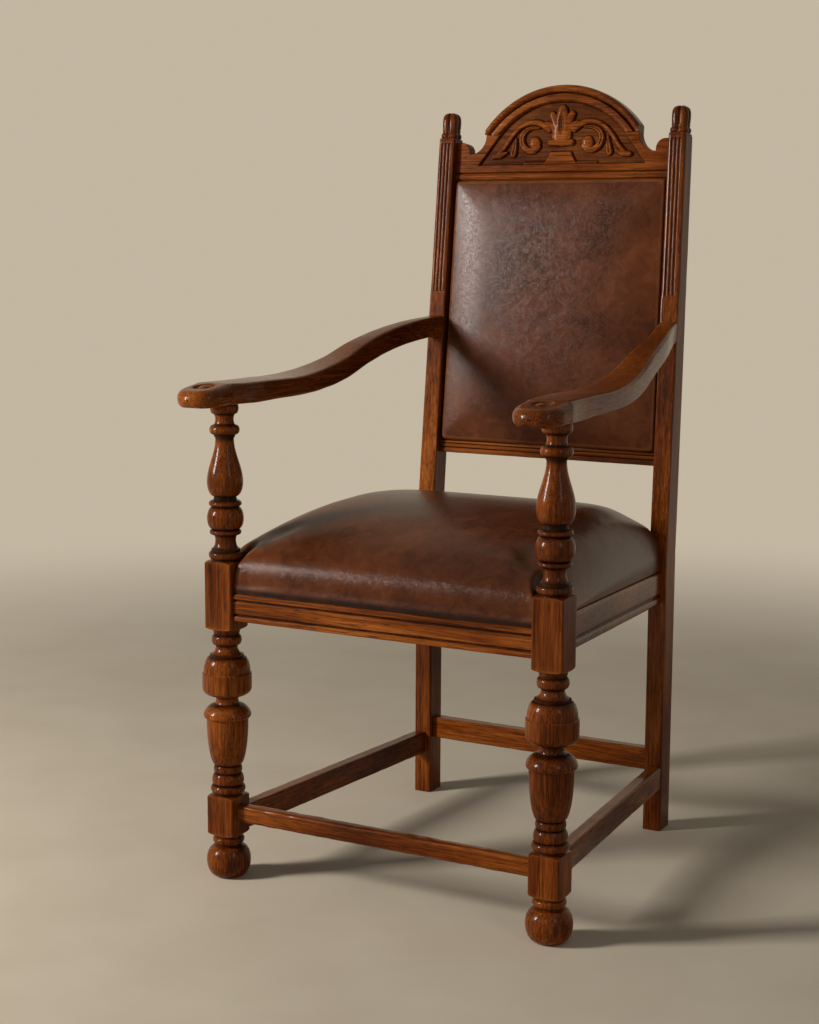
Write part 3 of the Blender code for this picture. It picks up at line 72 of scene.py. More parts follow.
camera_data = bpy.data.cameras.new("photo_camera")
camera_data.sensor_width = SENSOR
camera_data.lens = FOCAL_LENGTH_PIXELS * SENSOR / IMAGE_HEIGHT
camera = bpy.data.objects.new("photo_camera", camera_data)
camera.matrix_world = (
    Matrix.Translation(CAMERA_PLACE)
    @ Matrix.Rotation(CAMERA_TURN, 4, "Z")
    @ Matrix.Rotation(math.pi / 2 - CAMERA_TILT, 4, "X")
    @ Matrix.Rotation(CAMERA_ROLL, 4, "Z")
)
bpy.context.collection.objects.link(camera)
bpy.context.scene.camera = camera
bpy.context.scene.view_settings.view_transform = "Standard"
print("camera lens", round(camera_data.lens, 2), "mm")

# %% [markdown]
# ## Wiring helpers
# Shader nodes are wired the same way many times, so a few small helpers keep each finish short.
# A value that is given to a helper is either a number, which is set, or a socket, which is linked.


# %% Wiring helpers
def feed(tree, socket, value):
    """Sets a socket, or links another one to it."""
    if isinstance(value, bpy.types.NodeSocket):
        tree.links.new(value, socket)
    elif value is not None:
        socket.default_value = value


def sum_of(tree, operation, a, b=None, clamp=False):
    """One step of arithmetic."""
    step = tree.nodes.new("ShaderNodeMath")
    step.operation = operation
    step.use_clamp = clamp
    feed(tree, step.inputs[0], a)
    feed(tree, step.inputs[1], b)
    return step.outputs[0]


def mixed(tree, share, a, b):
    """Two colours mixed."""
    step = tree.nodes.new("ShaderNodeMix")
    step.data_type = "RGBA"
    feed(tree, step.inputs[0], share)
    feed(tree, step.inputs[6], a)
    feed(tree, step.inputs[7], b)
    return step.outputs[2]


def stretched(tree, vector, scale, turn=(0.0, 0.0, 0.0)):
    """Coordinates scaled and turned by a Mapping node."""
    step = tree.nodes.new("ShaderNodeMapping")
    feed(tree, step.inputs["Vector"], vector)
    step.inputs["Rotation"].default_value = turn
    step.inputs["Scale"].default_value = scale
    return step.outputs["Vector"]


def cloudy(tree, vector, scale, detail=3.0, rough=0.5, twist=0.0):
    """Noise: its value and its colour."""
    step = tree.nodes.new("ShaderNodeTexNoise")
    feed(tree, step.inputs["Vector"], vector)
    step.inputs["Scale"].default_value = scale
    step.inputs["Detail"].default_value = detail
    step.inputs["Roughness"].default_value = rough
    step.inputs["Distortion"].default_value = twist
    return step.outputs["Fac"], step.outputs["Color"]


def graded(tree, value, stops):
    """A colour ramp with (place, colour) stops."""
    step = tree.nodes.new("ShaderNodeValToRGB")
    feed(tree, step.inputs["Fac"], value)
    ramp = step.color_ramp
    while len(ramp.elements) < len(stops):
        ramp.elements.new(1.0)
    for element, (place, colour) in zip(ramp.elements, stops):
        element.position = place
        element.color = (*colour, 1.0)
    return step.outputs["Color"]


def between(tree, value, low, high):
    """0 below low, 1 above high, smooth in between."""
    step = tree.nodes.new("ShaderNodeMapRange")
    step.interpolation_type = "SMOOTHSTEP"
    feed(tree, step.inputs["Value"], value)
    step.inputs["From Min"].default_value = low
    step.inputs["From Max"].default_value = high
    return step.outputs["Result"]


def new_group(name, inputs, outputs):
    """A node group with named sockets."""
    tree = bpy.data.node_groups.new(name, "ShaderNodeTree")
    kinds = {"vector": "NodeSocketVector", "value": "NodeSocketFloat", "colour": "NodeSocketColor"}
    for label, kind in inputs:
        tree.interface.new_socket(label, in_out="INPUT", socket_type=kinds[kind])
    for label, kind in outputs:
        tree.interface.new_socket(label, in_out="OUTPUT", socket_type=kinds[kind])
    return tree, tree.nodes.new("NodeGroupInput"), tree.nodes.new("NodeGroupOutput")


def placed(tree, group, **inputs):
    """A group put into a material, with its inputs set or linked."""
    step = tree.nodes.new("ShaderNodeGroup")
    step.node_tree = group
    for label, value in inputs.items():
        feed(tree, step.inputs[label], value)
    return step.outputs


def new_material(name):
    """A material with its tree, its shader and the object's own coordinates."""
    material = bpy.data.materials.new(name)
    material.use_nodes = True
    tree = material.node_tree
    shader = tree.nodes["Principled BSDF"]
    coordinates = tree.nodes.new("ShaderNodeTexCoord").outputs["Object"]
    return material, tree, shader, coordinates


def raised(tree, shader, height, strength, distance):
    """A bump on the shader's normal."""
    step = tree.nodes.new("ShaderNodeBump")
    step.inputs["Strength"].default_value = strength
    step.inputs["Distance"].default_value = distance
    tree.links.new(height, step.inputs["Height"])
    tree.links.new(step.outputs["Normal"], shader.inputs["Normal"])


def surface_mark(tree, name):
    """A value painted on the mesh, such as how worn it is."""
    step = tree.nodes.new("ShaderNodeAttribute")
    step.attribute_name = name
    return step.outputs["Fac"]


# %% [markdown]
# ## Grain, wear and hide as node groups
# Grain is noise stretched along the wood: long streaks, slow changes of tone, and the short dark
# pores that tell oak from other woods. Wear takes two values that each mesh carries, one for edges
# that hands have rubbed and one for corners and hollows, which are darkened both as gathered old
# polish and as painted shade. Hide is the mottled skin of the seat and back. Each is a group, so
# several finishes share one pattern.


# %% Wood grain
wood_grain, grain_in, grain_out = new_group(
    "wood_grain", [("Vector", "vector")], [("Figure", "value"), ("Pores", "value")]
)


def wire_wood_grain(tree, start, end):
    """Streaks, tone and pores with the grain along Z."""
    place = start.outputs["Vector"]
    sway = cloudy(tree, stretched(tree, place, (1, 1, 0.16)), 10.0, 2.0)[1]
    bend = tree.nodes.new("ShaderNodeVectorMath")
    bend.operation = "MULTIPLY_ADD"
    feed(tree, bend.inputs[0], sway)
    bend.inputs[1].default_value = (0.016, 0.016, 0.0)
    feed(tree, bend.inputs[2], place)
    wavy = bend.outputs[0]
    streaks = cloudy(tree, stretched(tree, wavy, (1, 1, 0.028)), 300.0, 4.0, 0.62)[0]
    fine = cloudy(tree, stretched(tree, wavy, (1, 1, 0.02)), 760.0, 2.0, 0.5)[0]
    tone = cloudy(tree, stretched(tree, place, (1, 1, 0.25)), 14.0, 3.0, 0.55)[0]
    figure = sum_of(tree, "MULTIPLY_ADD", streaks, 0.95)
    figure.node.inputs[2].default_value = -0.86
    figure = sum_of(tree, "ADD", figure, sum_of(tree, "MULTIPLY", tone, 1.25))
    figure = sum_of(tree, "ADD", figure, sum_of(tree, "MULTIPLY", fine, 0.50), True)
    specks = cloudy(tree, stretched(tree, wavy, (1, 1, 0.03)), 1100.0, 1.0)[0]
    pores = between(tree, specks, 0.56, 0.66)
    tree.links.new(figure, end.inputs["Figure"])
    tree.links.new(pores, end.inputs["Pores"])


wire_wood_grain(wood_grain, grain_in, grain_out)
print("group", wood_grain.name, "has", len(wood_grain.nodes), "nodes")

# %% Wear along edges, and grime and painted shade in corners
wear, wear_in, wear_out = new_group(
    "wear",
    [("Vector", "vector"), ("Colour", "colour"), ("Worn", "value"), ("Grime", "value")]
    + [("Worn Colour", "colour"), ("Grime Colour", "colour")],
    [("Colour", "colour"), ("Rubbed", "value"), ("Grimy_And_Shaded", "value")],
)


def wire_wear(tree, start, end):
    """Breaks both marks up with noise, then paints them over the colour."""
    patches = cloudy(tree, start.outputs["Vector"], 42.0, 4.0, 0.6)[0]
    patchy = sum_of(tree, "ADD", sum_of(tree, "MULTIPLY", patches, 1.5), -0.05)
    rubbed = sum_of(tree, "MULTIPLY", start.outputs["Worn"], patchy, True)
    steadier = sum_of(tree, "ADD", sum_of(tree, "MULTIPLY", patches, 0.8), 0.5)
    # This mask darkens hollows and corners: partly grime, partly painted shade.
    grimy_and_shaded = sum_of(tree, "MULTIPLY", start.outputs["Grime"], steadier, True)
    lighter = mixed(tree, rubbed, start.outputs["Colour"], start.outputs["Worn Colour"])
    darker = mixed(tree, grimy_and_shaded, lighter, start.outputs["Grime Colour"])
    tree.links.new(darker, end.inputs["Colour"])
    tree.links.new(rubbed, end.inputs["Rubbed"])
    tree.links.new(grimy_and_shaded, end.inputs["Grimy_And_Shaded"])


wire_wear(wear, wear_in, wear_out)
print("group", wear.name, "has", len(wear.nodes), "nodes")

# %% Leather hide
hide, hide_in, hide_out = new_group(
    "hide", [("Vector", "vector")], [("Tone", "value"), ("Height", "value"), ("Creases", "value")]
)


def wire_hide(tree, start, end):
    """Cloudy tone, pebbled grain and fine creases."""
    place = start.outputs["Vector"]
    clouds = cloudy(tree, place, 7.0, 4.0, 0.55, 0.6)[0]
    mottle = cloudy(tree, place, 38.0, 5.0, 0.65, 0.8)[0]
    broad = sum_of(tree, "MULTIPLY", clouds, 0.75)
    tone = sum_of(tree, "ADD", broad, sum_of(tree, "MULTIPLY", mottle, 0.55))
    tone = sum_of(tree, "ADD", tone, -0.16, True)
    pebbles = tree.nodes.new("ShaderNodeTexVoronoi")
    pebbles.feature = "F1"
    feed(tree, pebbles.inputs["Vector"], place)
    pebbles.inputs["Scale"].default_value = 620.0
    folds = cloudy(tree, place, 85.0, 5.0, 0.7, 1.6)[0]
    middle = sum_of(tree, "ABSOLUTE", sum_of(tree, "ADD", folds, -0.5))
    lines = between(tree, middle, 0.030, 0.0)
    height = sum_of(tree, "MULTIPLY", pebbles.outputs["Distance"], -0.35)
    height = sum_of(tree, "ADD", height, sum_of(tree, "MULTIPLY", folds, 0.9))
    height = sum_of(tree, "ADD", height, sum_of(tree, "MULTIPLY", lines, -0.25))
    tree.links.new(tone, end.inputs["Tone"])
    tree.links.new(height, end.inputs["Height"])
    tree.links.new(lines, end.inputs["Creases"])


wire_hide(hide, hide_in, hide_out)
print("group", hide.name, "has", len(hide.nodes), "nodes")

# %% [markdown]
# ## The finishes
# The oak is stained a dark red-brown and polished with wax and shellac. Hands have rubbed the raised
# edges to a warmer brown, and the hollows are darkened as dirt and as painted shade. One oak finish
# serves every piece. Its grain is turned with a Mapping node for uprights, for cross pieces and for
# pieces that run from front to back, and the carved crest has a thinner coat of wax.

# %% Oak finishes
OAK_STOPS = (
    (0.10, (0.0200, 0.0038, 0.0005)),
    (0.32, (0.0850, 0.0165, 0.0013)),
    (0.50, (0.1620, 0.0345, 0.0028)),
    (0.68, (0.2550, 0.0650, 0.0070)),
    (0.90, (0.3700, 0.1180, 0.0200)),
)
OAK_WORN = (0.235, 0.0660, 0.0100, 1.0)
# Colour of the darkened hollows: grime together with painted shade.
OAK_GRIME_AND_SHADE = (0.0090, 0.0025, 0.0008, 1.0)
OAK_PORE = (0.013, 0.0032, 0.0008, 1.0)


def oak_finish(name, turn, wax=0.60):
    """Polished oak with its grain turned to the piece and a coat of wax."""
    material, tree, shader, coordinates = new_material(name)
    along = stretched(tree, coordinates, (1, 1, 1), turn)
    grain = placed(tree, wood_grain, Vector=along)
    colour = graded(tree, grain["Figure"], OAK_STOPS)
    colour = mixed(tree, sum_of(tree, "MULTIPLY", grain["Pores"], 0.7), colour, OAK_PORE)
    aged = placed(
        tree,
        wear,
        Vector=coordinates,
        Colour=colour,
        Worn=surface_mark(tree, "worn"),
        Grime=surface_mark(tree, "grime_and_shade"),
    )
    aged["Colour"].node.inputs["Worn Colour"].default_value = OAK_WORN
    aged["Colour"].node.inputs["Grime Colour"].default_value = OAK_GRIME_AND_SHADE
    tree.links.new(aged["Colour"], shader.inputs["Base Color"])
    dull = sum_of(tree, "MULTIPLY_ADD", grain["Figure"], -0.10)
    dull.node.inputs[2].default_value = 0.38
    dull = sum_of(tree, "ADD", dull, sum_of(tree, "MULTIPLY", aged["Grimy_And_Shaded"], 0.25))
    dull = sum_of(tree, "ADD", dull, sum_of(tree, "MULTIPLY", aged["Rubbed"], -0.05))
    tree.links.new(dull, shader.inputs["Roughness"])
    polish = sum_of(tree, "MULTIPLY_ADD", aged["Grimy_And_Shaded"], -wax / 2)
    polish.node.inputs[2].default_value = wax
    tree.links.new(polish, shader.inputs["Coat Weight"])
    shader.inputs["Coat Roughness"].default_value = 0.13
    shader.inputs["Coat IOR"].default_value = 1.26
    shader.inputs["Specular IOR Level"].default_value = 0.03
    height = sum_of(tree, "SUBTRACT", sum_of(tree, "MULTIPLY", grain["Figure"], 0.6), grain["Pores"])
    raised(tree, shader, height, 0.22, 0.0006)
    return material


QUARTER = math.pi / 2
oak_upright = oak_finish("polished_oak_upright", (0.0, 0.0, 0.0))
oak_across = oak_finish("polished_oak_across", (0.0, QUARTER, 0.0))
oak_carved = oak_finish("polished_oak_carved", (0.0, QUARTER, 0.0), wax=0.20)
oak_along = oak_finish("polished_oak_along", (QUARTER, 0.0, 0.0))
print("oak finishes:", [f.name for f in (oak_upright, oak_across, oak_carved, oak_along)])

# %% [markdown]
# The leather is a dark brown hide with a mottled, paler patina where it is rubbed. A broad soft
# gloss comes from a fairly low roughness, and the pebbled grain and creases break it up.

# %% Leather finish
LEATHER_CREASE = (0.15, 0.052, 0.022, 1.0)
LEATHER_WORN = (0.230, 0.082, 0.028, 1.0)
# Colour of the darkened creases and hollows: grime together with painted shade.
LEATHER_GRIME_AND_SHADE = (0.010, 0.0042, 0.003, 1.0)
LEATHER_STOPS = (
    (0.20, (0.0260, 0.0066, 0.0020)),
    (0.40, (0.0620, 0.0155, 0.0046)),
    (0.58, (0.1080, 0.0285, 0.0085)),
    (0.76, (0.1700, 0.0500, 0.0160)),
    (0.94, (0.2600, 0.0920, 0.0340)),
)


def leather_finish(name):
    """Waxed brown hide."""
    material, tree, shader, coordinates = new_material(name)
    skin = placed(tree, hide, Vector=coordinates)
    colour = graded(tree, skin["Tone"], LEATHER_STOPS)
    crease = sum_of(tree, "MULTIPLY", skin["Creases"], 0.22)
    colour = mixed(tree, crease, colour, LEATHER_CREASE)
    aged = placed(
        tree,
        wear,
        Vector=coordinates,
        Colour=colour,
        Worn=surface_mark(tree, "worn"),
        Grime=surface_mark(tree, "grime_and_shade"),
    )
    aged["Colour"].node.inputs["Worn Colour"].default_value = LEATHER_WORN
    aged["Colour"].node.inputs["Grime Colour"].default_value = LEATHER_GRIME_AND_SHADE
    tree.links.new(aged["Colour"], shader.inputs["Base Color"])
    dull = sum_of(tree, "MULTIPLY_ADD", skin["Tone"], 0.12)
    dull.node.inputs[2].default_value = 0.19
    dull = sum_of(tree, "ADD", dull, sum_of(tree, "MULTIPLY", aged["Grimy_And_Shaded"], 0.2))
    tree.links.new(dull, shader.inputs["Roughness"])
    shader.inputs["Specular IOR Level"].default_value = 0.15
    raised(tree, shader, skin["Height"], 0.17, 0.0008)
    return material


leather = leather_finish("waxed_brown_leather")
print("leather finish:", leather.name)

# %% [markdown]
# ## Floor and light
# The floor is a plain pale sheet. Far from the chair it fades into the same colour as the world
# behind it, which only the camera and reflections see. One tall soft lamp stands at the left like
# a window, a weak one at the right opens up the shadows, and the world adds an even light.

# %% Floor, world and lamps
BACKDROP = (0.545, 0.470, 0.360, 1.0)
FLOOR_STOPS = ((0.3, (0.60, 0.515, 0.395)), (0.7, (0.66, 0.575, 0.450)))
FLOOR_RADIUS, FADE_START, FADE_END = 30.0, 1.15, 3.2


def seen_directly(tree):
    """1 where a ray comes from the camera, a reflection or through glass."""
    path = tree.nodes.new("ShaderNodeLightPath").outputs
    seen = sum_of(tree, "MAXIMUM", path["Is Camera Ray"], path["Is Glossy Ray"])
    return sum_of(tree, "MAXIMUM", seen, path["Is Transmission Ray"])


def pale_floor():
    """A wide round floor that fades into the backdrop."""
    bm = bmesh.new()
    bmesh.ops.create_circle(bm, cap_ends=True, cap_tris=True, segments=96, radius=FLOOR_RADIUS)
    mesh = bpy.data.meshes.new("floor")
    bm.to_mesh(mesh)
    bm.free()
    floor = bpy.data.objects.new("floor", mesh)
    bpy.context.collection.objects.link(floor)
    material, tree, shader, coordinates = new_material("pale_floor")
    clouds = cloudy(tree, coordinates, 5.0, 4.0)[0]
    colour = graded(tree, clouds, FLOOR_STOPS)
    tree.links.new(colour, shader.inputs["Base Color"])
    shader.inputs["Roughness"].default_value = 0.8
    glow = tree.nodes.new("ShaderNodeEmission")
    glow.inputs["Color"].default_value = BACKDROP
    distance = tree.nodes.new("ShaderNodeVectorMath")
    distance.operation = "LENGTH"
    tree.links.new(coordinates, distance.inputs[0])
    far = between(tree, distance.outputs["Value"], FADE_START, FADE_END)
    fade = tree.nodes.new("ShaderNodeMixShader")
    tree.links.new(sum_of(tree, "MULTIPLY", far, seen_directly(tree)), fade.inputs[0])
    tree.links.new(shader.outputs[0], fade.inputs[1])
    tree.links.new(glow.outputs[0], fade.inputs[2])
    tree.links.new(fade.outputs[0], tree.nodes["Material Output"].inputs["Surface"])
    mesh.materials.append(material)


def soft_world(strength):
    """Even light, with the backdrop's colour where it is seen."""
    world = bpy.data.worlds.new("studio")
    bpy.context.scene.world = world
    world.use_nodes = True
    tree = world.node_tree
    even = tree.nodes["Background"]
    even.inputs["Color"].default_value = (1.0, 0.965, 0.91, 1.0)
    even.inputs["Strength"].default_value = strength
    shown = tree.nodes.new("ShaderNodeBackground")
    shown.inputs["Color"].default_value = BACKDROP
    choice = tree.nodes.new("ShaderNodeMixShader")
    tree.links.new(seen_directly(tree), choice.inputs[0])
    tree.links.new(even.outputs[0], choice.inputs[1])
    tree.links.new(shown.outputs[0], choice.inputs[2])
    tree.links.new(choice.outputs[0], tree.nodes["World Output"].inputs["Surface"])


def soft_lamp(name, place, target, size, power, colour):
    """A rectangular lamp that faces a point."""
    data = bpy.data.lights.new(name, "AREA")
    data.shape = "RECTANGLE"
    data.size, data.size_y = size
    data.energy = power
    data.color = colour
    lamp = bpy.data.objects.new(name, data)
    facing = (Vector(target) - Vector(place)).to_track_quat("-Z", "Y")
    lamp.matrix_world = Matrix.Translation(place) @ facing.to_matrix().to_4x4()
    bpy.context.collection.objects.link(lamp)


pale_floor()
soft_world(0.11)
soft_lamp(
    "window_lamp", place=(-2.25, -2.10, 1.60), target=(0.0, 0.1, 0.65),
    size=(0.52, 1.00), power=104.0, colour=(1.0, 0.97, 0.92),
)
soft_lamp(
    "fill_lamp", place=(2.3, -1.5, 1.7), target=(0.0, 0.0, 0.6),
    size=(0.4, 1.2), power=5.0, colour=(1.0, 0.97, 0.93),
)

# %% [markdown]
# ## Making a piece from a bmesh
# Every piece ends the same way: doubles are merged, faces are turned outwards, and the mesh is
# carried from the joiner's own coordinates, which start between the front legs, to the model's.
# Then two values are painted on its vertices. A vertex that stands proud of its neighbours is on a
# worn edge, and one that lies below them is in a corner that is darkened as grime and as painted
# shade. A piece can add its own wear, and its own grime and painted shade. Pieces that meet leave
# the joiner's gap between them.

# %% Finishing a piece
WELD = 0.000002
JOINT_GAP = 0.0003
WORN_FROM, GRIME_AND_SHADE_FROM, GRIME_AND_SHADE_GAIN = 0.4, 0.1, 1.7


def neighbour_mean(values, ends, count):
    """Each vertex's value averaged with its neighbours'."""
    a, b = ends
    total = values + np.bincount(a, values[b], count) + np.bincount(b, values[a], count)
    return total / (1 + np.bincount(a, minlength=count) + np.bincount(b, minlength=count))


def mark_wear(mesh, reach, extra=None, dirt_and_shade=None):
    """Paints how worn each vertex is, and how much grime and painted shade it gets, from how sharply
    the surface bends there.
    """
    count = len(mesh.vertices)
    points, normals = np.empty(count * 3), np.empty(count * 3)
    mesh.vertices.foreach_get("co", points)
    mesh.vertices.foreach_get("normal", normals)
    points, normals = points.reshape(-1, 3), normals.reshape(-1, 3)
    ends = np.empty(len(mesh.edges) * 2, dtype=np.int32)
    mesh.edges.foreach_get("vertices", ends)
    a, b = ends.reshape(-1, 2).T
    step = points[b] - points[a]
    square = np.maximum((step * step).sum(axis=1), 1e-8)
    bend_a = -(normals[a] * step).sum(axis=1) * 2 / square
    bend_b = (normals[b] * step).sum(axis=1) * 2 / square
    degree = np.maximum(np.bincount(a, minlength=count) + np.bincount(b, minlength=count), 1)
    bend = (np.bincount(a, bend_a, count) + np.bincount(b, bend_b, count)) / degree
    bend = neighbour_mean(bend, (a, b), count)
    worn = np.clip(bend * reach - WORN_FROM, 0.0, 1.0)
    # Vertices in hollows get the darkening mark, which stands for grime and for painted shade.
    grime_and_shade = np.clip((-bend * reach - GRIME_AND_SHADE_FROM) * GRIME_AND_SHADE_GAIN, 0.0, 1.0)
    if extra is not None:
        worn = np.clip(worn + extra(normals), 0.0, 1.0)
    if dirt_and_shade is not None:
        grime_and_shade = np.clip(grime_and_shade + dirt_and_shade(points), 0.0, 1.0)
    for name, values in (("worn", worn), ("grime_and_shade", grime_and_shade)):
        mesh.attributes.new(name, "FLOAT", "POINT").data.foreach_set("value", values)


def finished(
    bm, name, finish, nodes, sharp=35.0, reach=0.003, extra=None, dirt_and_shade=None
):
    """Closes a bmesh into a piece that stands for the model's nodes."""
    bmesh.ops.remove_doubles(bm, verts=bm.verts, dist=WELD)
    bmesh.ops.recalc_face_normals(bm, faces=bm.faces)
    bmesh.ops.translate(bm, verts=bm.verts, vec=(0.0, LEG_LINE, 0.0))
    mesh = bpy.data.meshes.new(name)
    bm.to_mesh(mesh)
    bm.free()
    mesh.shade_smooth()
    mesh.set_sharp_from_angle(angle=math.radians(sharp))
    mark_wear(mesh, reach, extra, dirt_and_shade)
    return as_piece(mesh, name, finish, nodes)


def as_piece(mesh, name, finish, nodes):
    """Puts a mesh into the scene in place of the model's nodes."""
    mesh.materials.clear()
    mesh.materials.append(finish)
    piece = bpy.data.objects.new(name, mesh)
    bpy.context.collection.objects.link(piece)
    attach(piece, "root")
    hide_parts(*nodes)
    print("made", name, "with", len(mesh.polygons), "faces")
    return piece


def blend(a, b, share):
    """A value between a and b."""
    return a + (b - a) * share


def smooth_step(value, low, high):
    """0 at low, 1 at high, with soft ends; works on numbers and arrays."""
    share = np.clip((value - low) / (high - low), 0.0, 1.0)
    return share * share * (3 - 2 * share)


def verts_of(geometry):
    """The vertices in what an operator returned."""
    return [g for g in geometry if isinstance(g, bmesh.types.BMVert)]


# %% [markdown]
# ## Lofting
# Rails, posts and arms are long pieces whose section hardly changes. One ring of points is drawn
# and then extruded from station to station, and each new ring is moved onto the section at that
# station. The two ends are closed with a face. A little noise makes the wood uneven. Blender would
# start it from the clock, so it gets a fixed start and the wood comes out the same in every run.


# %% Lofting a section
def loft(bm, sections):
    """Draws the first ring and extrudes it through the others."""
    ring = [bm.verts.new(point) for point in sections[0]]
    edges = [bm.edges.new((ring[i - 1], ring[i])) for i in range(len(ring))]
    first = list(edges)
    for points in sections[1:]:
        made = bmesh.ops.extrude_edge_only(bm, edges=edges)["geom"]
        fresh = set(verts_of(made))
        ring = [next(e.other_vert(v) for e in v.link_edges if e.other_vert(v) in fresh) for v in ring]
        for vertex, point in zip(ring, points):
            vertex.co = point
        edges = [g for g in made if isinstance(g, bmesh.types.BMEdge) and fresh.issuperset(g.verts)]
    for loop in (first, edges):
        bmesh.ops.edgeloop_fill(bm, edges=loop)


def eased(outline, radius, support=0.002, steps=3):
    """Rounds the corners of a closed outline, with a point on each side that keeps the flats flat."""
    points = []
    count = len(outline)
    for i in range(count):
        corner = Vector(outline[i])
        to_last = Vector(outline[i - 1]) - corner
        to_next = Vector(outline[(i + 1) % count]) - corner
        reach = min(radius, to_last.length * 0.45, to_next.length * 0.45)
        start, end = corner + to_last.normalized() * reach, corner + to_next.normalized() * reach
        if to_last.length > 2 * (reach + support):
            points.append(corner + to_last.normalized() * (reach + support))
        for k in range(steps + 1):
            t = k / steps
            points.append(start * (1 - t) ** 2 + corner * 2 * t * (1 - t) + end * t**2)
        if to_next.length > 2 * (reach + support):
            points.append(corner + to_next.normalized() * (reach + support))
    return points


NOISE_START = 7
noise.seed_set(NOISE_START)


def hand_worked(point, amount, scale=55.0):
    """A small unevenness, as a plane and a scraper leave it."""
    return noise.noise_vector(Vector(point) * scale) * amount


# %% [markdown]
# ## Front legs
# Each front leg is one length of oak, turned between square blocks: a flattened ball foot, a block
# for the stretchers, a cup and cover, a block for the seat rails, and a slim baluster that carries
# the arm. A spun profile gives every bead, cove and cup at once. The lathe also rounds the shoulders
# of the blocks where it cuts into their corners, and old dirt and painted shade darken the grooves.

# %% Profiles of the turnings
LOWER_BLOCK = (0.065, 0.125)
UPPER_BLOCK = (0.376, 0.477)
ARM_UNDERSIDE = 0.7075
FILLET, FOOT_PAD = 0.0205, 0.018
FINE, AROUND = 10, 72
FOOT = (
    ("bead", 0.72, 0.0195, 0.033),
    ("straight", 0.77, 0.0195, None),
    ("bead", 0.93, 0.0205, 0.0235),
    ("straight", 1.00, 0.0205, None),
)
CUP_AND_COVER = (
    ("straight", 0.012, 0.0205, None),
    ("bead", 0.062, 0.0205, 0.0258),
    ("bead", 0.132, 0.0185, 0.0235),
    ("bead", 0.180, 0.0185, 0.0212),
    ("cup", 0.465, 0.0310, None),
    ("bead", 0.545, 0.0210, 0.0337),
    ("cove", 0.600, 0.0200, 0.0165),
    ("cup", 0.646, 0.0364, None),
    ("straight", 0.735, 0.0364, None),
    ("straight", 0.742, 0.0344, None),
    ("dome", 0.832, 0.0250, None),
    ("straight", 0.845, 0.0250, None),
    ("cove", 0.905, 0.0185, 0.0170),
    ("bead", 0.962, 0.0185, 0.0222),
    ("straight", 1.00, 0.0205, None),
)
BALUSTER = (
    ("straight", 0.010, 0.0205, None),
    ("bead", 0.058, 0.0215, 0.0248),
    ("straight", 0.075, 0.0208, None),
    ("cove", 0.165, 0.0186, 0.0152),
    ("bead", 0.200, 0.0186, 0.0232),
    ("bead", 0.345, 0.0180, 0.0268),
    ("bead", 0.385, 0.0172, 0.0240),
    ("straight", 0.410, 0.0162, None),
    ("cup", 0.500, 0.0263, None),
    ("ogee", 0.775, 0.0134, None),
    ("straight", 0.800, 0.0165, None),
    ("bead", 0.860, 0.0165, 0.0220),
    ("cove", 0.930, 0.0165, 0.0134),
    ("bead", 1.00, 0.0165, 0.0207),
)


def turned_point(shape, r0, r1, extreme, turn):
    """Share along a shape and the radius there."""
    wave = math.pi * turn
    if shape in ("bead", "cove"):
        share = (1 - math.cos(wave)) / 2
        return share, blend(r0, r1, share) + (extreme - (r0 + r1) / 2) * math.sin(wave)
    if shape == "cup":
        return 1 - math.cos(wave / 2), blend(r0, r1, math.sin(wave / 2))
    if shape == "dome":
        return math.sin(wave / 2), blend(r1, r0, math.cos(wave / 2))
    if shape == "ogee":
        return turn, blend(r0, r1, (1 - math.cos(wave)) / 2)
    return turn, blend(r0, r1, turn)


def turned_profile(pattern, low, high, start):
    """(radius, height) points of one turned length, closed on the axis."""
    points = [(0.0, low), (start, low)]
    share, radius = 0.0, start
    for shape, end, r1, extreme in pattern:
        steps = 1 if shape == "straight" else FINE
        for k in range(1, steps + 1):
            t, r = turned_point(shape, radius, r1, extreme, k / steps)
            points.append((r, blend(low, high, blend(share, end, t))))
        share, radius = end, r1
    return points + [(0.0, high)]


def add_turning(bm, profile, x):
    """Spins a profile into a closed turning."""
    line = [bm.verts.new((x + radius, 0.0, height)) for radius, height in profile]
    edges = [bm.edges.new(pair) for pair in zip(line, line[1:])]
    bmesh.ops.spin(
        bm, geom=line + edges, cent=(x, 0.0, 0.0), axis=(0.0, 0.0, 1.0), angle=2 * math.pi,
        steps=AROUND, use_merge=True,
    )


# %% Blocks and whole legs
BLOCK_HALF = 0.02285
BLOCK_EDGE = 0.0022
GROOVE_RADIUS, GROOVE_REACH, GROOVE_DIRT_AND_SHADE = 0.0252, 0.0026, 0.85
SHOULDER_START = 0.0218
SHOULDER_DROP = 0.0055
SHOULDER_SCALES = (0.5, 0.72, 0.86, 0.94, 0.985)
BLOCK_SHARES = (0.0, 0.04, 0.12, 0.3, 0.5, 0.7, 0.88, 0.96, 1.0)
LAST_FORM = 0.99


def block_ring(scale):
    """A square ring with eased corners and more points towards them."""
    half, edge = BLOCK_HALF * scale, BLOCK_EDGE * scale
    span = half - edge
    side = [(span * math.sin(k * math.pi / 12), -half) for k in range(-5, 6)]
    for angle in (0.0, math.pi / 6, math.pi / 3, math.pi / 2):
        side.append((span + edge * math.sin(angle), -span - edge * math.cos(angle)))
    ring = []
    for quarter in range(4):
        spun = Matrix.Rotation(quarter * math.pi / 2, 2)
        ring += [tuple(spun @ Vector(point)) for point in side]
    return ring


def shoulder(x, y):
    """How far the lathe took the end of a block down at a distance from its axis."""
    corner = BLOCK_HALF * math.sqrt(2) + 0.0006
    share = min(1.0, max(0.0, (math.hypot(x, y) - SHOULDER_START) / (corner - SHOULDER_START)))
    return SHOULDER_DROP * (1 - math.sqrt(1 - share * share))


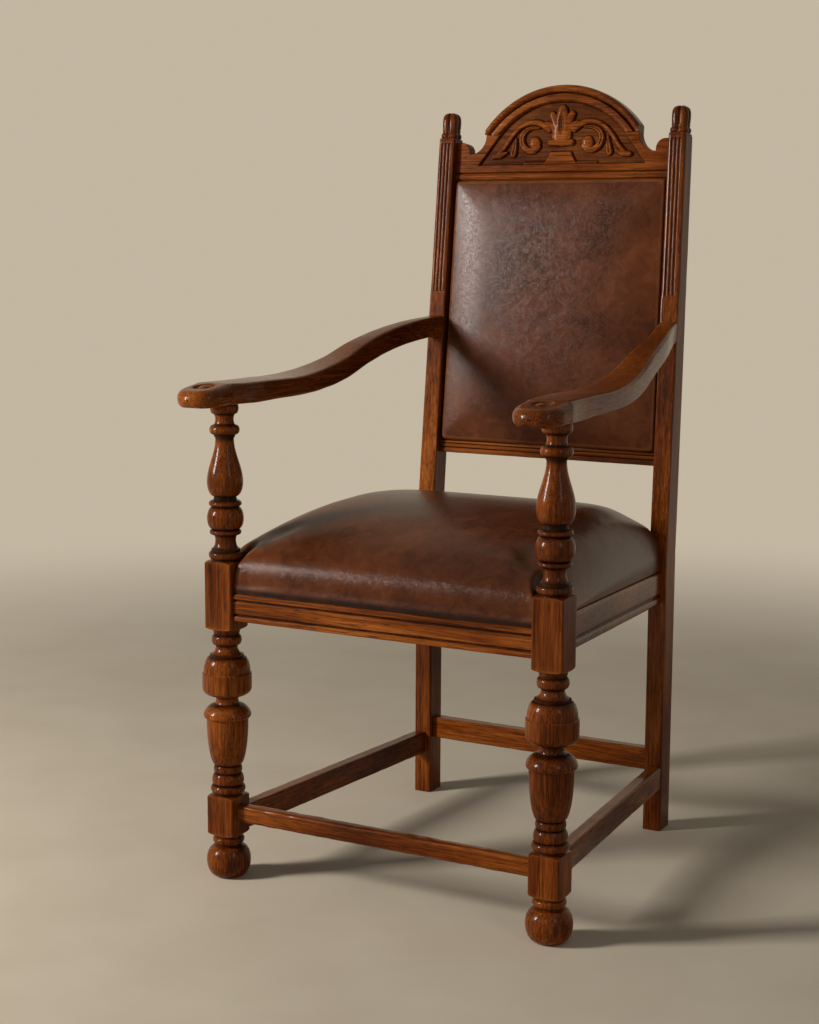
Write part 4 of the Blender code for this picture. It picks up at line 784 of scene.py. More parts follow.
def add_block(bm, x, low, high):
    """A square block whose two ends were rounded on the lathe."""
    rows = [(s, low, 1.0) for s in SHOULDER_SCALES]
    rows += [(1.0, blend(low, high, t), 1.0 - 2 * t) for t in BLOCK_SHARES]
    rows += [(s, high, -1.0) for s in reversed(SHOULDER_SCALES)]
    sections = []
    for scale, height, lift in rows:
        ring = block_ring(scale)
        sections.append([(x + u, v, height + lift * shoulder(u, v)) for u, v in ring])
    loft(bm, sections)


def groove_dirt_and_shade(points):
    """Dirt and painted shade in the grooves of a turned leg, where one turned form meets the next."""
    dirt_and_shade = np.zeros(len(points))
    turnings = (
        (CUP_AND_COVER, LOWER_BLOCK[1], UPPER_BLOCK[0]),
        (BALUSTER, UPPER_BLOCK[1], ARM_UNDERSIDE),
    )
    for forms, low, high in turnings:
        for _, share, radius, _ in forms:
            if radius < GROOVE_RADIUS and share < LAST_FORM:
                # Each groove gets a band of darkening: partly dirt, partly painted shade.
                off = (points[:, 2] - blend(low, high, share)) / GROOVE_REACH
                dirt_and_shade = np.maximum(dirt_and_shade, GROOVE_DIRT_AND_SHADE * np.exp(-(off**2)))
    return dirt_and_shade


def front_leg(side, word):
    """One front leg, from its foot to the underside of the arm."""
    bm = bmesh.new()
    x = side * LEG_X
    add_turning(bm, turned_profile(FOOT, 0.0, LOWER_BLOCK[0], FOOT_PAD), x)
    add_turning(bm, turned_profile(CUP_AND_COVER, LOWER_BLOCK[1], UPPER_BLOCK[0], FILLET), x)
    add_turning(bm, turned_profile(BALUSTER, UPPER_BLOCK[1], ARM_UNDERSIDE - JOINT_GAP, FILLET), x)
    add_block(bm, x, *LOWER_BLOCK)
    add_block(bm, x, *UPPER_BLOCK)
    finished(bm, f"turned_leg_{word}", oak_upright, [f"front_leg_{word}"], dirt_and_shade=groove_dirt_and_shade)


for side, word in SIDES:
    front_leg(side, word)

# %% [markdown]
# ## Back posts
# A back leg and the post above it are one piece, upright below the seat and leaning back above it.
# Above the arm the front corners are chamfered and three flutes run up the face, and both die out
# in a soft stop. The section is lofted, and its chamfer and flutes grow from nothing at the stops.

# %% Back posts
BACK_X, POST_TOP_X = 0.2103, 0.202
POST_HALF = 0.0146
LEG_DEPTH, POST_TOP_DEPTH = 0.042, 0.034
FRAME_DEPTH = 0.506
RAKE_START, POST_TOP = 0.450, 1.104
RAKE_BACK = 0.057
RAKE = math.atan2(RAKE_BACK, POST_TOP - RAKE_START)
POST_LENGTH = (POST_TOP - RAKE_START) / math.cos(RAKE)
CHAMFER, POST_EDGE = 0.0042, 0.0024
STOP_RISE = 0.403
FLUTE_PITCH, FLUTE_HALF, FLUTE_DEPTH = 0.0063, 0.0026, 0.0019
leaning = Matrix.Translation((0.0, FRAME_DEPTH, RAKE_START)) @ Matrix.Rotation(-RAKE, 4, "X")


def sloping_x(rise):
    """Half the distance between the posts' middles at a distance up the leaning back."""
    return blend(BACK_X, POST_TOP_X, max(0.0, rise) / POST_LENGTH)


def flute(x):
    """Share of a flute's depth at a place across the post's face."""
    depth = 0.0
    for middle in (-FLUTE_PITCH, 0.0, FLUTE_PITCH):
        share = (x - middle) / FLUTE_HALF
        depth = max(depth, math.sqrt(max(0.0, 1 - share * share)))
    return depth


def post_section(depth, chamfer, fluted):
    """Ring of (x, depth) points: fluted face, chamfers, sides and back."""
    flat = POST_HALF - chamfer
    face = []
    for k in range(-24, 25):
        x = flat * k / 24
        face.append((x, FLUTE_DEPTH * fluted * flute(x * (POST_HALF - CHAMFER) / flat)))
    edge, bulge = POST_EDGE, 0.29
    right = [(POST_HALF - chamfer * bulge, chamfer * bulge)]
    right += [(POST_HALF, chamfer), (POST_HALF, chamfer + 0.003)]
    right += [(POST_HALF, depth - edge * 2), (POST_HALF, depth - edge)]
    right += [(POST_HALF - edge * bulge, depth - edge * bulge)]
    right += [(POST_HALF - edge, depth), (0.006, depth)]
    return face + right + [(-x, d) for x, d in reversed(right)]


def back_post(side, word):
    """One back leg with its post."""
    stations = [(-RAKE_START, LEG_DEPTH)]
    stations += [(-RAKE_START + z, LEG_DEPTH) for z in (0.002, 0.03, 0.1, 0.2, 0.3, 0.38, 0.44)]
    rises = [0.0, 0.01, 0.06, 0.14, 0.22, 0.30, 0.36, STOP_RISE - 0.012]
    rises += [STOP_RISE + 0.0012 * k for k in range(-6, 16)]
    rises += [0.44, 0.48, 0.52, 0.56, 0.60, 0.63]
    ends = (0.010, 0.0075, 0.0066, 0.006, 0.0055, 0.005, 0.0045, 0.002, 0.0)
    rises += [POST_LENGTH - t for t in ends]
    stations += [(r, blend(LEG_DEPTH, POST_TOP_DEPTH, r / POST_LENGTH)) for r in rises]
    sections = []
    for rise, depth in stations:
        grown = float(smooth_step(rise, STOP_RISE - 0.006, STOP_RISE + 0.013))
        chamfer = blend(POST_EDGE, CHAMFER, grown)
        low_end = max(0.0, min(1.0, (rise - STOP_RISE - 0.004) / 0.004))
        high_end = max(0.0, min(1.0, (POST_LENGTH - 0.0045 - rise) / 0.0025))
        fluted = math.sqrt(1 - (1 - low_end) ** 2) * math.sqrt(1 - (1 - high_end) ** 2)
        ring = []
        for x, d in post_section(depth, chamfer, fluted):
            x += side * sloping_x(rise)
            flat = Vector((x, FRAME_DEPTH + d, RAKE_START + rise))
            point = flat if rise <= 0 else leaning @ Vector((x, d, rise))
            ring.append(point + hand_worked(point, 0.00025))
        sections.append(ring)
    bm = bmesh.new()
    loft(bm, sections)
    finished(bm, f"post_{word}", oak_upright, [f"back_post_{word}"], reach=0.0014)


for side, word in SIDES:
    back_post(side, word)

# %% [markdown]
# ## Finials
# On each post stands a small bud: a thin square plate, four little balls, a waist, and four lobes
# that close in a dome. A V groove runs up the middle of each face and crosses on top. It is a loft
# again, whose ring is a rounded square with four dents.

# %% Finials
FINIAL_ROWS = (
    (0.0036, 0.0120, 0.08), (0.0042, 0.0138, 0.10), (0.0060, 0.0149, 0.18), (0.0088, 0.0151, 0.22),
    (0.0114, 0.0145, 0.20), (0.0130, 0.0131, 0.14), (0.0140, 0.0127, 0.12), (0.0150, 0.0132, 0.13),
    (0.0162, 0.0134, 0.15), (0.0174, 0.0130, 0.16), (0.0190, 0.0131, 0.20), (0.0230, 0.0134, 0.24),
    (0.0280, 0.0136, 0.26), (0.0330, 0.0136, 0.28), (0.0370, 0.0133, 0.30), (0.0400, 0.0126, 0.33),
    (0.0425, 0.0114, 0.37), (0.0444, 0.0096, 0.42), (0.0457, 0.0072, 0.48), (0.0464, 0.0045, 0.52),
    (0.0466, 0.0018, 0.55),
)


FINIAL_AROUND, SQUARENESS, DENT_WIDTH, DOME_START = 96, 3.4, 0.17, 0.038
PLATE_X, PLATE_Y = 0.0139, 0.0160
PLATE_LEVELS = ((0.0002, 0.95), (0.0008, 1.0), (0.0028, 1.0), (0.0036, 0.97), (0.0041, 0.88))


def lobed(angle, half, groove):
    """A rounded square with a dent in the middle of each side."""
    c, s = abs(math.cos(angle)), abs(math.sin(angle))
    radius = half / (c**SQUARENESS + s**SQUARENESS) ** (1 / SQUARENESS)
    off = (angle + math.pi / 4) % (math.pi / 2) - math.pi / 4
    dent = math.exp(-((abs(off) / DENT_WIDTH) ** 1.5))
    return radius * (1 - groove * dent), dent


def finial(side, word):
    """One four-lobed bud on its plate."""
    bm = bmesh.new()
    rings = []
    for height, half, groove in FINIAL_ROWS:
        ring = []
        for k in range(FINIAL_AROUND):
            angle = 2 * math.pi * k / FINIAL_AROUND
            radius, dent = lobed(angle, half, groove)
            sink = dent * max(0.0, height - DOME_START)
            ring.append((radius * math.cos(angle), radius * math.sin(angle), height - sink * 0.35))
        rings.append(ring)
    loft(bm, rings)
    x, y = PLATE_X, PLATE_Y
    outline = eased([(-x, -y), (x, -y), (x, y), (-x, y)], 0.0030)
    loft(bm, [[(p[0] * s, p[1] * s, z) for p in outline] for z, s in PLATE_LEVELS])
    place = leaning @ Matrix.Translation((side * POST_TOP_X, POST_TOP_DEPTH / 2, POST_LENGTH))
    bmesh.ops.transform(bm, matrix=place, verts=bm.verts)
    finished(bm, f"bud_{word}", oak_upright, [f"finial_{word}"], sharp=60.0, reach=0.0016)


for side, word in SIDES:
    finial(side, word)

# %% [markdown]
# ## Seat rails and stretchers
# The rails are planed bars with a moulding run along the outer face: a bead at the top, a flat band,
# a groove and a bead below. The stretchers are plain bars whose edges have been worn by feet. Each
# is lofted in many short steps, so that its edges can waver a little as old edges do.

# %% Sections of the rails
STEP = 0.0025


def moulded(t, h, s):
    """Front rail: (forward, up) points of its moulding."""
    return [
        (0.0, 0.0), (t - s / 2, 0.0), (t, s * 0.8), (t, h * 0.15),
        (t - s * 0.5, h * 0.195), (t - s * 1.3, h * 0.205), (t - s * 1.3, h * 0.255),
        (t - s * 0.45, h * 0.29), (t - s * 0.3, h * 0.5), (t - s * 0.45, h * 0.70),
        (t - s * 1.2, h * 0.735), (t - s * 1.2, h * 0.785), (t - s * 0.1, h * 0.82), (t, h * 0.89),
        (t - s * 0.2, h * 0.96), (t - s * 1.1, h), (0.0, h),
    ]


def side_moulded(t, h, s):
    """Side rail: a flat band over a groove and a bead."""
    return [
        (0.0, 0.0), (t - s / 2, 0.0), (t, s), (t, h * 0.17), (t - s * 0.5, h * 0.215),
        (t - s * 1.2, h * 0.235), (t - s * 1.2, h * 0.285), (t - s * 0.2, h * 0.33),
        (t, h * 0.40), (t, h - s * 1.4), (t - s * 0.8, h), (0.0, h),
    ]


def plain(t, h):
    """A plain bar."""
    return [(0.0, 0.0), (t, 0.0), (t, h), (0.0, h)]


def bar(name, section, place, finish, node, unevenness=0.0003, stations=60):
    """Lofts a section along a bar, with the points that place gives at each share of its length."""
    bm = bmesh.new()
    rings = []
    for k in range(stations + 1):
        ring = []
        for point in section:
            spot = Vector(place(k / stations, *point))
            ring.append(spot + hand_worked(spot, unevenness))
        rings.append(ring)
    loft(bm, rings)
    finished(bm, name, finish, [node])


# %% Rails and stretchers
BETWEEN_BLOCKS = LEG_X - BLOCK_HALF - JOINT_GAP
BETWEEN_LEGS = BACK_X - POST_HALF - JOINT_GAP
SIDE_START, SIDE_END = BLOCK_HALF + JOINT_GAP, FRAME_DEPTH - JOINT_GAP
RAIL, RAIL_TALL, FRONT_RAIL_TALL = 0.022, 0.050, 0.0405
FOOTRAIL = 0.020


def crossing(half, rear, bottom):
    """Places a bar that runs from left to right."""
    return lambda share, forward, up: (blend(-half, half, share), rear - forward, bottom + up)


def front_to_back(side, inner_front, inner_back, bottom_front, bottom_back):
    """Places a bar that runs from a front leg to a back leg."""
    return lambda share, out, up: (
        side * (blend(inner_front, inner_back, share) + out),
        blend(SIDE_START, SIDE_END, share),
        blend(bottom_front, bottom_back, share) + up,
    )


bar("moulded_front_rail", eased(moulded(RAIL, FRONT_RAIL_TALL, STEP), 0.0009),
    crossing(BETWEEN_BLOCKS, 0.00415, 0.3915), oak_across, "front_seat_rail")
bar("plain_back_rail", eased(plain(RAIL, RAIL_TALL), 0.0016),
    crossing(BETWEEN_LEGS, 0.534, 0.3725), oak_across, "back_seat_rail")
bar("front_footrail", eased(plain(FOOTRAIL, 0.0265), 0.0075, steps=6),
    crossing(BETWEEN_BLOCKS, 0.010, 0.086), oak_across, "front_stretcher", 0.0007, 90)
bar("back_footrail", eased(plain(FOOTRAIL, 0.0355), 0.0022),
    crossing(BETWEEN_LEGS, 0.537, 0.0955), oak_across, "back_stretcher", 0.0004)
for side, word in SIDES:
    bar(f"moulded_{word}_rail", eased(side_moulded(RAIL, RAIL_TALL, STEP), 0.0009),
        front_to_back(side, 0.25865, 0.1953, 0.4005, 0.3725), oak_along, f"{word}_seat_rail")
    bar(f"{word}_footrail", eased(plain(FOOTRAIL, 0.036), 0.0024),
        front_to_back(side, 0.23985, 0.2043, 0.070, 0.070), oak_along, f"{word}_stretcher", 0.0004)

# %% [markdown]
# ## Arms
# An arm is sawn from a thick plank: it swings outwards, dips, and ends in a rounded hand that is a
# little wider than the arm, so a small shoulder shows. A round eye is carved into the top of the
# hand. The loft runs along the arm with a fine net of points over the hand, and the eye is
# pressed into that net by a formula.

# %% Arms
HAND_RADIUS, HAND_REACH, HAND_LENGTH = 0.035, 0.089, 0.059
HAND_TOP = 0.7365
HAND_STEP = 0.0040
HAND_SLOPE, HAND_BEND = 0.17, 0.012
HAND_ROUNDING, NECK_ROUNDING, ARM_ROUNDING = 0.0110, 0.006, 0.0048
ARM_CROWN = 0.0012
ARM_RISE, ARM_BOW = 0.0793, 0.016
ARM_END_HALF, ARM_END_THICKNESS = 0.0152, 0.0315
ARM_STATIONS = (
    (0.000, -0.28, 0.880, 0.010, 0.930),
    (0.055, -0.25, 0.874, 0.013, 0.952),
    (0.130, -0.12, 0.899, 0.019, 0.905),
    (0.260, 0.25, 0.848, 0.025, 0.889),
    (0.391, 0.69, 0.646, 0.101, 0.952),
    (0.521, 0.88, 0.470, 0.281, 1.032),
    (0.642, 1.00, 0.293, 0.555, 1.079),
    (0.782, 1.00, 0.091, 0.782, 1.048),
    (0.894, 0.56, 0.015, 0.920, 1.016),
    (1.000, 0.00, 0.000, 1.000, 1.000),
)
EYE_Y = -0.050
EYE_RADIUS, EYE_BOSS, EYE_DEPTH = 0.0168, 0.0086, 0.0036


def face_depth(z):
    """Depth of the posts' front faces at a height."""
    return FRAME_DEPTH + max(0.0, z - RAKE_START) * math.tan(RAKE)


def through(stations, share):
    """A smooth row of values at a share of the way along the stations."""
    table = np.array(stations)
    slopes = np.gradient(table, table[:, 0], axis=0)
    i = int(np.clip(np.searchsorted(table[:, 0], share) - 1, 0, len(table) - 2))
    run = table[i + 1, 0] - table[i, 0]
    t = (share - table[i, 0]) / run
    a, b = 2 * t**3 - 3 * t**2 + 1, t**3 - 2 * t**2 + t
    leaving = a * table[i] + b * run * slopes[i]
    return leaving + (1 - a) * table[i + 1] + (t**3 - t**2) * run * slopes[i + 1]


TOP_STEPS = 44


def arm_ring(half, top, under, rounding):
    """(across, height) points of an arm's section: a fine top, round edges and a plain underside."""
    rounding = min(rounding, half * 0.8, (top - under) * 0.49)
    corner = [k * math.pi / 14 for k in range(1, 7)]
    flat, high, low = half - rounding, top - rounding, under + rounding
    ring = [(flat * (2 * k / TOP_STEPS - 1), top) for k in range(TOP_STEPS + 1)]
    ring += [(flat + rounding * math.sin(a), high + rounding * math.cos(a)) for a in corner]
    ring += [(half, high), (half, (top + under) / 2), (half, low)]
    ring += [(flat + rounding * math.cos(a), low - rounding * math.sin(a)) for a in corner]
    ring += [(flat * (1 - k / 4), under) for k in range(9)]
    ring += [(-flat - rounding * math.sin(a), low - rounding * math.cos(a)) for a in corner]
    ring += [(-half, low), (-half, (top + under) / 2), (-half, high)]
    ring += [(-flat - rounding * math.cos(a), high + rounding * math.sin(a)) for a in corner]
    return ring


def eye(across, along):
    """Depth of the carved eye: a sunk ring, a coiled ridge and a round boss."""
    distance = math.hypot(across, along)
    if distance > EYE_RADIUS:
        return 0.0
    sunk = -EYE_DEPTH * float(smooth_step(EYE_RADIUS - distance, 0.0, 0.0025))
    if distance < EYE_BOSS:
        return sunk + 0.0044 * math.sqrt(1 - (distance / EYE_BOSS) ** 2)
    turn = (math.atan2(along, across) / (2 * math.pi)) % 1.0
    ridge = blend(0.0142, 0.0098, turn)
    return sunk + 0.0017 * math.exp(-(((distance - ridge) / 0.0013) ** 2))


def hand_top(y):
    """Height of the hand's top, which slopes down towards its tip."""
    run = max(0.0, -0.020 - y)
    return HAND_TOP + 0.001 - HAND_SLOPE * run * run / (run + HAND_BEND)


def hand_rows():
    """(depth, half width, top, underside, rounding) from the tip of the hand to its shoulder."""
    middle = HAND_RADIUS - HAND_REACH
    nose = 0.0115
    rows = []
    for k in range(1, 64):
        y = -HAND_REACH + HAND_LENGTH * (1 - math.cos(math.pi / 2 * k / 63))
        half = math.sqrt(max(0.0, HAND_RADIUS**2 - min(0.0, y - middle) ** 2))
        bow = max(0.0, 1 - (y + HAND_REACH) / nose)
        drop = nose * (1 - math.sqrt(1 - bow * bow))
        under = ARM_UNDERSIDE - 0.0016 * float(smooth_step(-y, 0.026, 0.050))
        rows.append((y, half, hand_top(y) - drop, under + drop, HAND_ROUNDING))
    last = rows[-1]
    for t in (0.25, 0.5, 0.75, 1.0):
        curve = 1 - math.sqrt(1 - t * t)
        half = blend(HAND_RADIUS, HAND_RADIUS - HAND_STEP, curve)
        y = last[0] + 0.004 * t
        rounding = blend(HAND_ROUNDING, NECK_ROUNDING, t)
        rows.append((y, half, hand_top(y), ARM_UNDERSIDE, rounding))
    return rows


def rubbed_top(normals):
    """The top of an arm is paler where forearms have rested."""
    return np.clip(normals[:, 2], 0.0, 1.0) ** 3 * 0.42


def arm(side, word):
    """One arm with its carved hand."""
    end_middle = HAND_TOP + ARM_RISE - ARM_END_THICKNESS / 2
    end_share = (end_middle - RAKE_START) / (POST_TOP - RAKE_START)
    end_x = blend(BACK_X, POST_TOP_X, end_share)
    end_y = face_depth(end_middle) - JOINT_GAP
    rows = [(LEG_X, *row) for row in hand_rows()]
    start = rows[-1][1] + 0.0025
    for k in range(80):
        y = blend(start, end_y, k / 79)
        _, bow, width, rise, thick = through(ARM_STATIONS, max(0.0, y) / end_y)
        join = float(smooth_step(y, start, start + 0.028))
        middle = blend(LEG_X, end_x, max(0.0, y) / end_y) + bow * ARM_BOW * join
        half = blend(HAND_RADIUS - HAND_STEP, blend(ARM_END_HALF, HAND_RADIUS, width), join)
        top = blend(hand_top(y), HAND_TOP + rise * ARM_RISE, join)
        under = blend(ARM_UNDERSIDE, top - thick * ARM_END_THICKNESS, join)
        rows.append((middle, y, half, top, under, blend(NECK_ROUNDING, ARM_ROUNDING, join)))
    sections = []
    for number, (x, y, half, top, under, rounding) in enumerate(rows):
        last = number == len(rows) - 1
        ring = []
        for u, z in arm_ring(half, top, under, rounding):
            depth = face_depth(z) - JOINT_GAP if last else y
            on_top = z >= top - 1e-6
            crown = ARM_CROWN * (1 - (u / half) ** 2) if on_top else 0.0
            sunk = eye(u, y - EYE_Y) if on_top else 0.0
            spot = Vector((side * (x + u), depth, z + min(0.0, crown - ARM_CROWN) + sunk))
            ring.append(spot + hand_worked(spot, 0.0003, 40.0) * (not last))
        sections.append(ring)
    bm = bmesh.new()
    loft(bm, sections)
    finished(bm, f"arm_and_hand_{word}", oak_along, [f"arm_{word}"], sharp=50.0, extra=rubbed_top)


for side, word in SIDES:
    arm(side, word)

# %% [markdown]
# ## Carved crest
# The crest is a board between the posts with rounded ears, hollow necks and an arched middle. Its
# ground is cut back, and a palmette stands on a little bar between two leafy scrolls. A carver draws
# the design on the board and then lowers the ground. Here a fine grid is laid over the board's
# outline, and every point is raised by the strokes of the design that pass near it.

# %% Strokes of the carving
CREST_BOTTOM, CREST_FACE = 1.0505, 0.016
CREST_FLOOR = (CREST_BOTTOM - RAKE_START + CREST_FACE * math.sin(RAKE)) / math.cos(RAKE)
GROUND = 0.0048
ARCH_DROP = 0.0315
# Each stroke: its (across, up) points, half its width at the start, middle and end, its height
# and the depth of its groove
SCROLL_STROKES = (
    ([(0.022, 0.0680), (0.034, 0.0755), (0.0475, 0.0794), (0.060, 0.0780), (0.072, 0.0730),
      (0.083, 0.0635), (0.0925, 0.0515), (0.1010, 0.0395), (0.110, 0.0305)],
     (0.0058, 0.0034, 0.0036), 0.0054, 0.0),
    ([(0.1195, 0.0258), (0.1080, 0.0275), (0.0960, 0.0318)], (0.0044, 0.0054, 0.0020), 0.0054, 0.0),
    ([(0.0810, 0.0545), (0.0826, 0.0410), (0.0846, 0.0300)], (0.0012, 0.0046, 0.0062), 0.0048, 0.0014),
    ([(0.0400, 0.0706), (0.0530, 0.0704), (0.0632, 0.0662), (0.0692, 0.0590), (0.0700, 0.0490),
      (0.0650, 0.0390)], (0.0018, 0.0046, 0.0054), 0.0052, 0.0014),
    ([(0.0650, 0.0390), (0.0565, 0.0345), (0.0475, 0.0352), (0.0420, 0.0405)],
     (0.0054, 0.0056, 0.0066), 0.0052, 0.0),
)
PALMETTE_STROKES = (
    ([(0.0, 0.058), (0.0, 0.076), (0.0, 0.0975)], (0.0180, 0.0150, 0.0088), 0.0054, 0.0),
    ([(0.006, 0.072), (0.0125, 0.083), (0.0174, 0.0910)], (0.0090, 0.0080, 0.0060), 0.0050, 0.0),
    ([(0.006, 0.066), (0.0160, 0.071), (0.0262, 0.0757)], (0.0090, 0.0076, 0.0057), 0.0046, 0.0),
)
VOLUTE_EYE, VOLUTE_EYE_RADIUS = (0.0465, 0.0458), 0.0106


def smooth_line(points, count=40):
    """A finer line through a stroke's points."""
    table = np.array([(k / (len(points) - 1), *p) for k, p in enumerate(points)])
    return np.array([through(table, k / count)[1:] for k in range(count + 1)])


def stroke_relief(x, z, line, halves, height, groove):
    """Height of a rounded stroke over the ground."""
    best = np.full(x.shape, 9.0)
    count = len(line) - 1
    for k in range(count):
        (ax, az), (bx, bz) = line[k], line[k + 1]
        run = max((bx - ax) ** 2 + (bz - az) ** 2, 1e-12)
        t = np.clip(((x - ax) * (bx - ax) + (z - az) * (bz - az)) / run, 0.0, 1.0)
        far = np.hypot(x - ax - t * (bx - ax), z - az - t * (bz - az))
        along = (k + t) / count
        early = blend(halves[0], halves[1], np.clip(along * 2, 0, 1))
        wide = np.where(along < 0.5, early, blend(halves[1], halves[2], np.clip(along * 2 - 1, 0, 1)))
        best = np.minimum(best, far / wide)
    body = height * np.clip(1 - np.clip(best, 0, 1) ** 3.6, 0, 1) ** 0.5
    return body - groove * np.exp(-((best / 0.24) ** 2)) * (best < 1)


def carving(x, z):
    """Height of the whole design over the ground, for the right half."""
    relief = np.zeros(x.shape)
    for points, halves, height, groove in SCROLL_STROKES:
        relief = np.maximum(relief, stroke_relief(x, z, smooth_line(points), halves, height, groove))
    disc = np.hypot(x - VOLUTE_EYE[0], z - VOLUTE_EYE[1]) / VOLUTE_EYE_RADIUS
    relief = np.maximum(relief, 0.0058 * np.clip(1 - np.clip(disc, 0, 1) ** 3, 0, 1) ** 0.5)
    leaf = np.zeros(x.shape)
    for points, halves, height, groove in PALMETTE_STROKES:
        leaf = np.maximum(leaf, stroke_relief(x, z, smooth_line(points), halves, height, groove))
    hollow = np.hypot(x / 0.0058, (z - 0.0760) / 0.0186)
    leaf = leaf - 0.0036 * np.clip(1 - hollow**2, 0, 1)
    relief = np.maximum(relief, leaf)
    rod = np.hypot(np.maximum(np.abs(x) - 0.0190, 0) / 0.0048, (z - 0.0464) / 0.0054)
    relief = np.maximum(relief, 0.0060 * np.sqrt(np.clip(1 - rod**2, 0, 1)))
    flare = np.clip((0.0324 - z) / 0.0190, 0, 1.4)
    inside = np.minimum(0.0193 + 0.0105 * flare**1.3 - np.abs(x), 0.0324 - z)
    relief = np.maximum(relief, 0.0042 * smooth_step(inside, -0.0005, 0.0024))
    inside = np.minimum(0.0660 - np.abs(x), 0.0172 - z)
    return np.maximum(relief, 0.0026 * smooth_step(inside, -0.0005, 0.0030))


# %% The crest board
CREST_SET, CREST_THICKNESS = 0.0125, 0.0205
ARCH_INNER, ARCH_OUTER, ARCH_SEAT = 0.1445, 0.1697, 0.0605
NECK_HALF, EAR_INNER, EAR_RADIUS, EAR_TOP, DIP = 0.1345, 0.1640, 0.0150, 0.0495, 0.030
CREST_HALF = sloping_x(CREST_FLOOR + EAR_TOP) - POST_HALF - JOINT_GAP
TONGUE = 0.004
TONGUE_END = math.sqrt((ARCH_INNER + TONGUE) ** 2 - (ARCH_SEAT + ARCH_DROP) ** 2)


def crest_top(x):
    """Height of the board's top edge at a distance from the middle."""
    x = abs(x)
    if x < TONGUE_END:
        return math.sqrt((ARCH_INNER + TONGUE) ** 2 - x * x) - ARCH_DROP
    if x <= NECK_HALF:
        return ARCH_SEAT - JOINT_GAP
    if x <= EAR_INNER:
        share = (EAR_INNER - x) / (EAR_INNER - NECK_HALF)
        return ARCH_SEAT - (ARCH_SEAT - DIP) * math.sqrt(max(0.0, 1 - share * share))
    off = max(0.0, EAR_INNER + EAR_RADIUS - x) / EAR_RADIUS
    return EAR_TOP - EAR_RADIUS + EAR_RADIUS * math.sqrt(max(0.0, 1 - off * off))


def sunk_edge(x, z):
    """Distance inside the edge of the sunk ground."""
    across = np.abs(x)
    arch = ARCH_INNER - 0.0004 - np.hypot(across, z + ARCH_DROP)
    flare = 0.1105 + (ARCH_SEAT - z) * 0.76
    side = np.where(z > ARCH_SEAT, arch, (flare - across) * 0.80)
    return np.minimum(side, z - 0.0108)


def crest_columns():
    """Places across the board: fine over the carving, close together at the corners of the outline."""
    quarter = math.pi / 2
    right = list(np.linspace(0.0, TONGUE_END - 0.0002, 152))
    right += list(np.linspace(TONGUE_END + 0.0002, NECK_HALF, 24))
    neck = EAR_INNER - NECK_HALF
    right += [EAR_INNER - neck * math.cos(a) for a in np.linspace(0.04, quarter, 26)]
    right += [EAR_INNER + 0.00005]
    right += [EAR_INNER + EAR_RADIUS * (1 - math.cos(a)) for a in np.linspace(0.12, quarter, 14)]
    right += list(np.linspace(EAR_INNER + EAR_RADIUS + 0.002, CREST_HALF, 5))
    return [-x for x in reversed(right[1:])] + right


def crest_dirt_and_shade(points):
    """Old polish and painted shade darken the sunk ground between the strokes."""
    back = np.array(leaning.inverted() @ Matrix.Translation((0.0, -LEG_LINE, 0.0)))
    local = points @ back[:3, :3].T + back[:3, 3]
    x, up = local[:, 0], local[:, 2] - CREST_FLOOR
    ground = 1 - smooth_step(carving(np.abs(x), up), 0.0008, 0.0036)
    front = local[:, 1] < CREST_SET + GROUND + 0.002
    # The sunk ground is darkened as old polish and as painted shade.
    return 0.55 * ground * smooth_step(sunk_edge(x, up), 0.0, 0.0015) * front


def carved_crest():
    """The crest with its carving."""
    columns, rows = crest_columns(), 148
    count = len(columns) - 1
    bm = bmesh.new()
    bmesh.ops.create_grid(bm, x_segments=count, y_segments=rows, size=1.0)
    spots = np.array([vertex.co[:] for vertex in bm.verts])
    column = np.rint((spots[:, 0] + 1) / 2 * count).astype(int)
    x = np.array(columns)[column]
    top = np.array([crest_top(c) for c in columns])[column]
    up = (spots[:, 1] + 1) / 2 * top
    inside = sunk_edge(x, up)
    sunk = smooth_step(inside, -0.0002, 0.0016)
    relief = carving(np.abs(x), up) * smooth_step(inside, 0.0, 0.002)
    marks = [noise.noise(Vector((a * 120, b * 120, 3.0))) for a, b in zip(x, up)]
    tooled = np.array(marks) * 0.00006
    depth = CREST_SET + sunk * (GROUND - relief) + tooled * sunk
    edge = np.where(np.abs(x) > NECK_HALF, np.clip((top - up) / 0.0022, 0, 1), 1.0)
    edge = np.minimum(edge, np.clip(up / 0.0015, 0, 1))
    depth += 0.0018 * (1 - np.sqrt(1 - (1 - edge) ** 2))
    for vertex, a, d, b in zip(bm.verts, x, depth, up):
        vertex.co = (a, d, CREST_FLOOR + b)
    rim = [e for e in bm.edges if e.is_boundary]
    back = bmesh.ops.extrude_edge_only(bm, edges=rim)["geom"]
    for vertex in verts_of(back):
        vertex.co.y = CREST_SET + CREST_THICKNESS - 0.0004
    bmesh.ops.edgeloop_fill(bm, edges=[e for e in bm.edges if e.is_boundary])
    bmesh.ops.transform(bm, matrix=leaning, verts=bm.verts)
    finished(
        bm, "carved_crest", oak_carved, ["crest_rail"], sharp=48.0, reach=0.0022, dirt_and_shade=crest_dirt_and_shade
    )


carved_crest()

# %% [markdown]
# ## Arch moulding and the rails of the back
# The arch over the carving is a bent moulding: a round outer bead, a dark groove and a flat inner
# band. Its section is spun about the middle of the arch, cut off level where it sits on the board,
# and trimmed upright at the necks. Below the carving a thin bead closes the crest, and a moulded
# rail carries the panel's lower edge.

# %% Arch moulding
ARCH_PROUD = 0.006
ARCH_BEAD, ARCH_BEAD_HALF, ARCH_BEAD_DEEP = 0.1637, 0.0060, 0.0078
# (radius, depth behind the front) of the groove and the flat band inside it
ARCH_GROOVE_AND_BAND = (
    (0.1573, 0.0084), (0.1560, 0.0082), (0.1553, 0.0040), (0.1545, 0.0030),
    (0.1495, 0.0024), (0.1460, 0.0028), (0.1449, 0.0038),
)


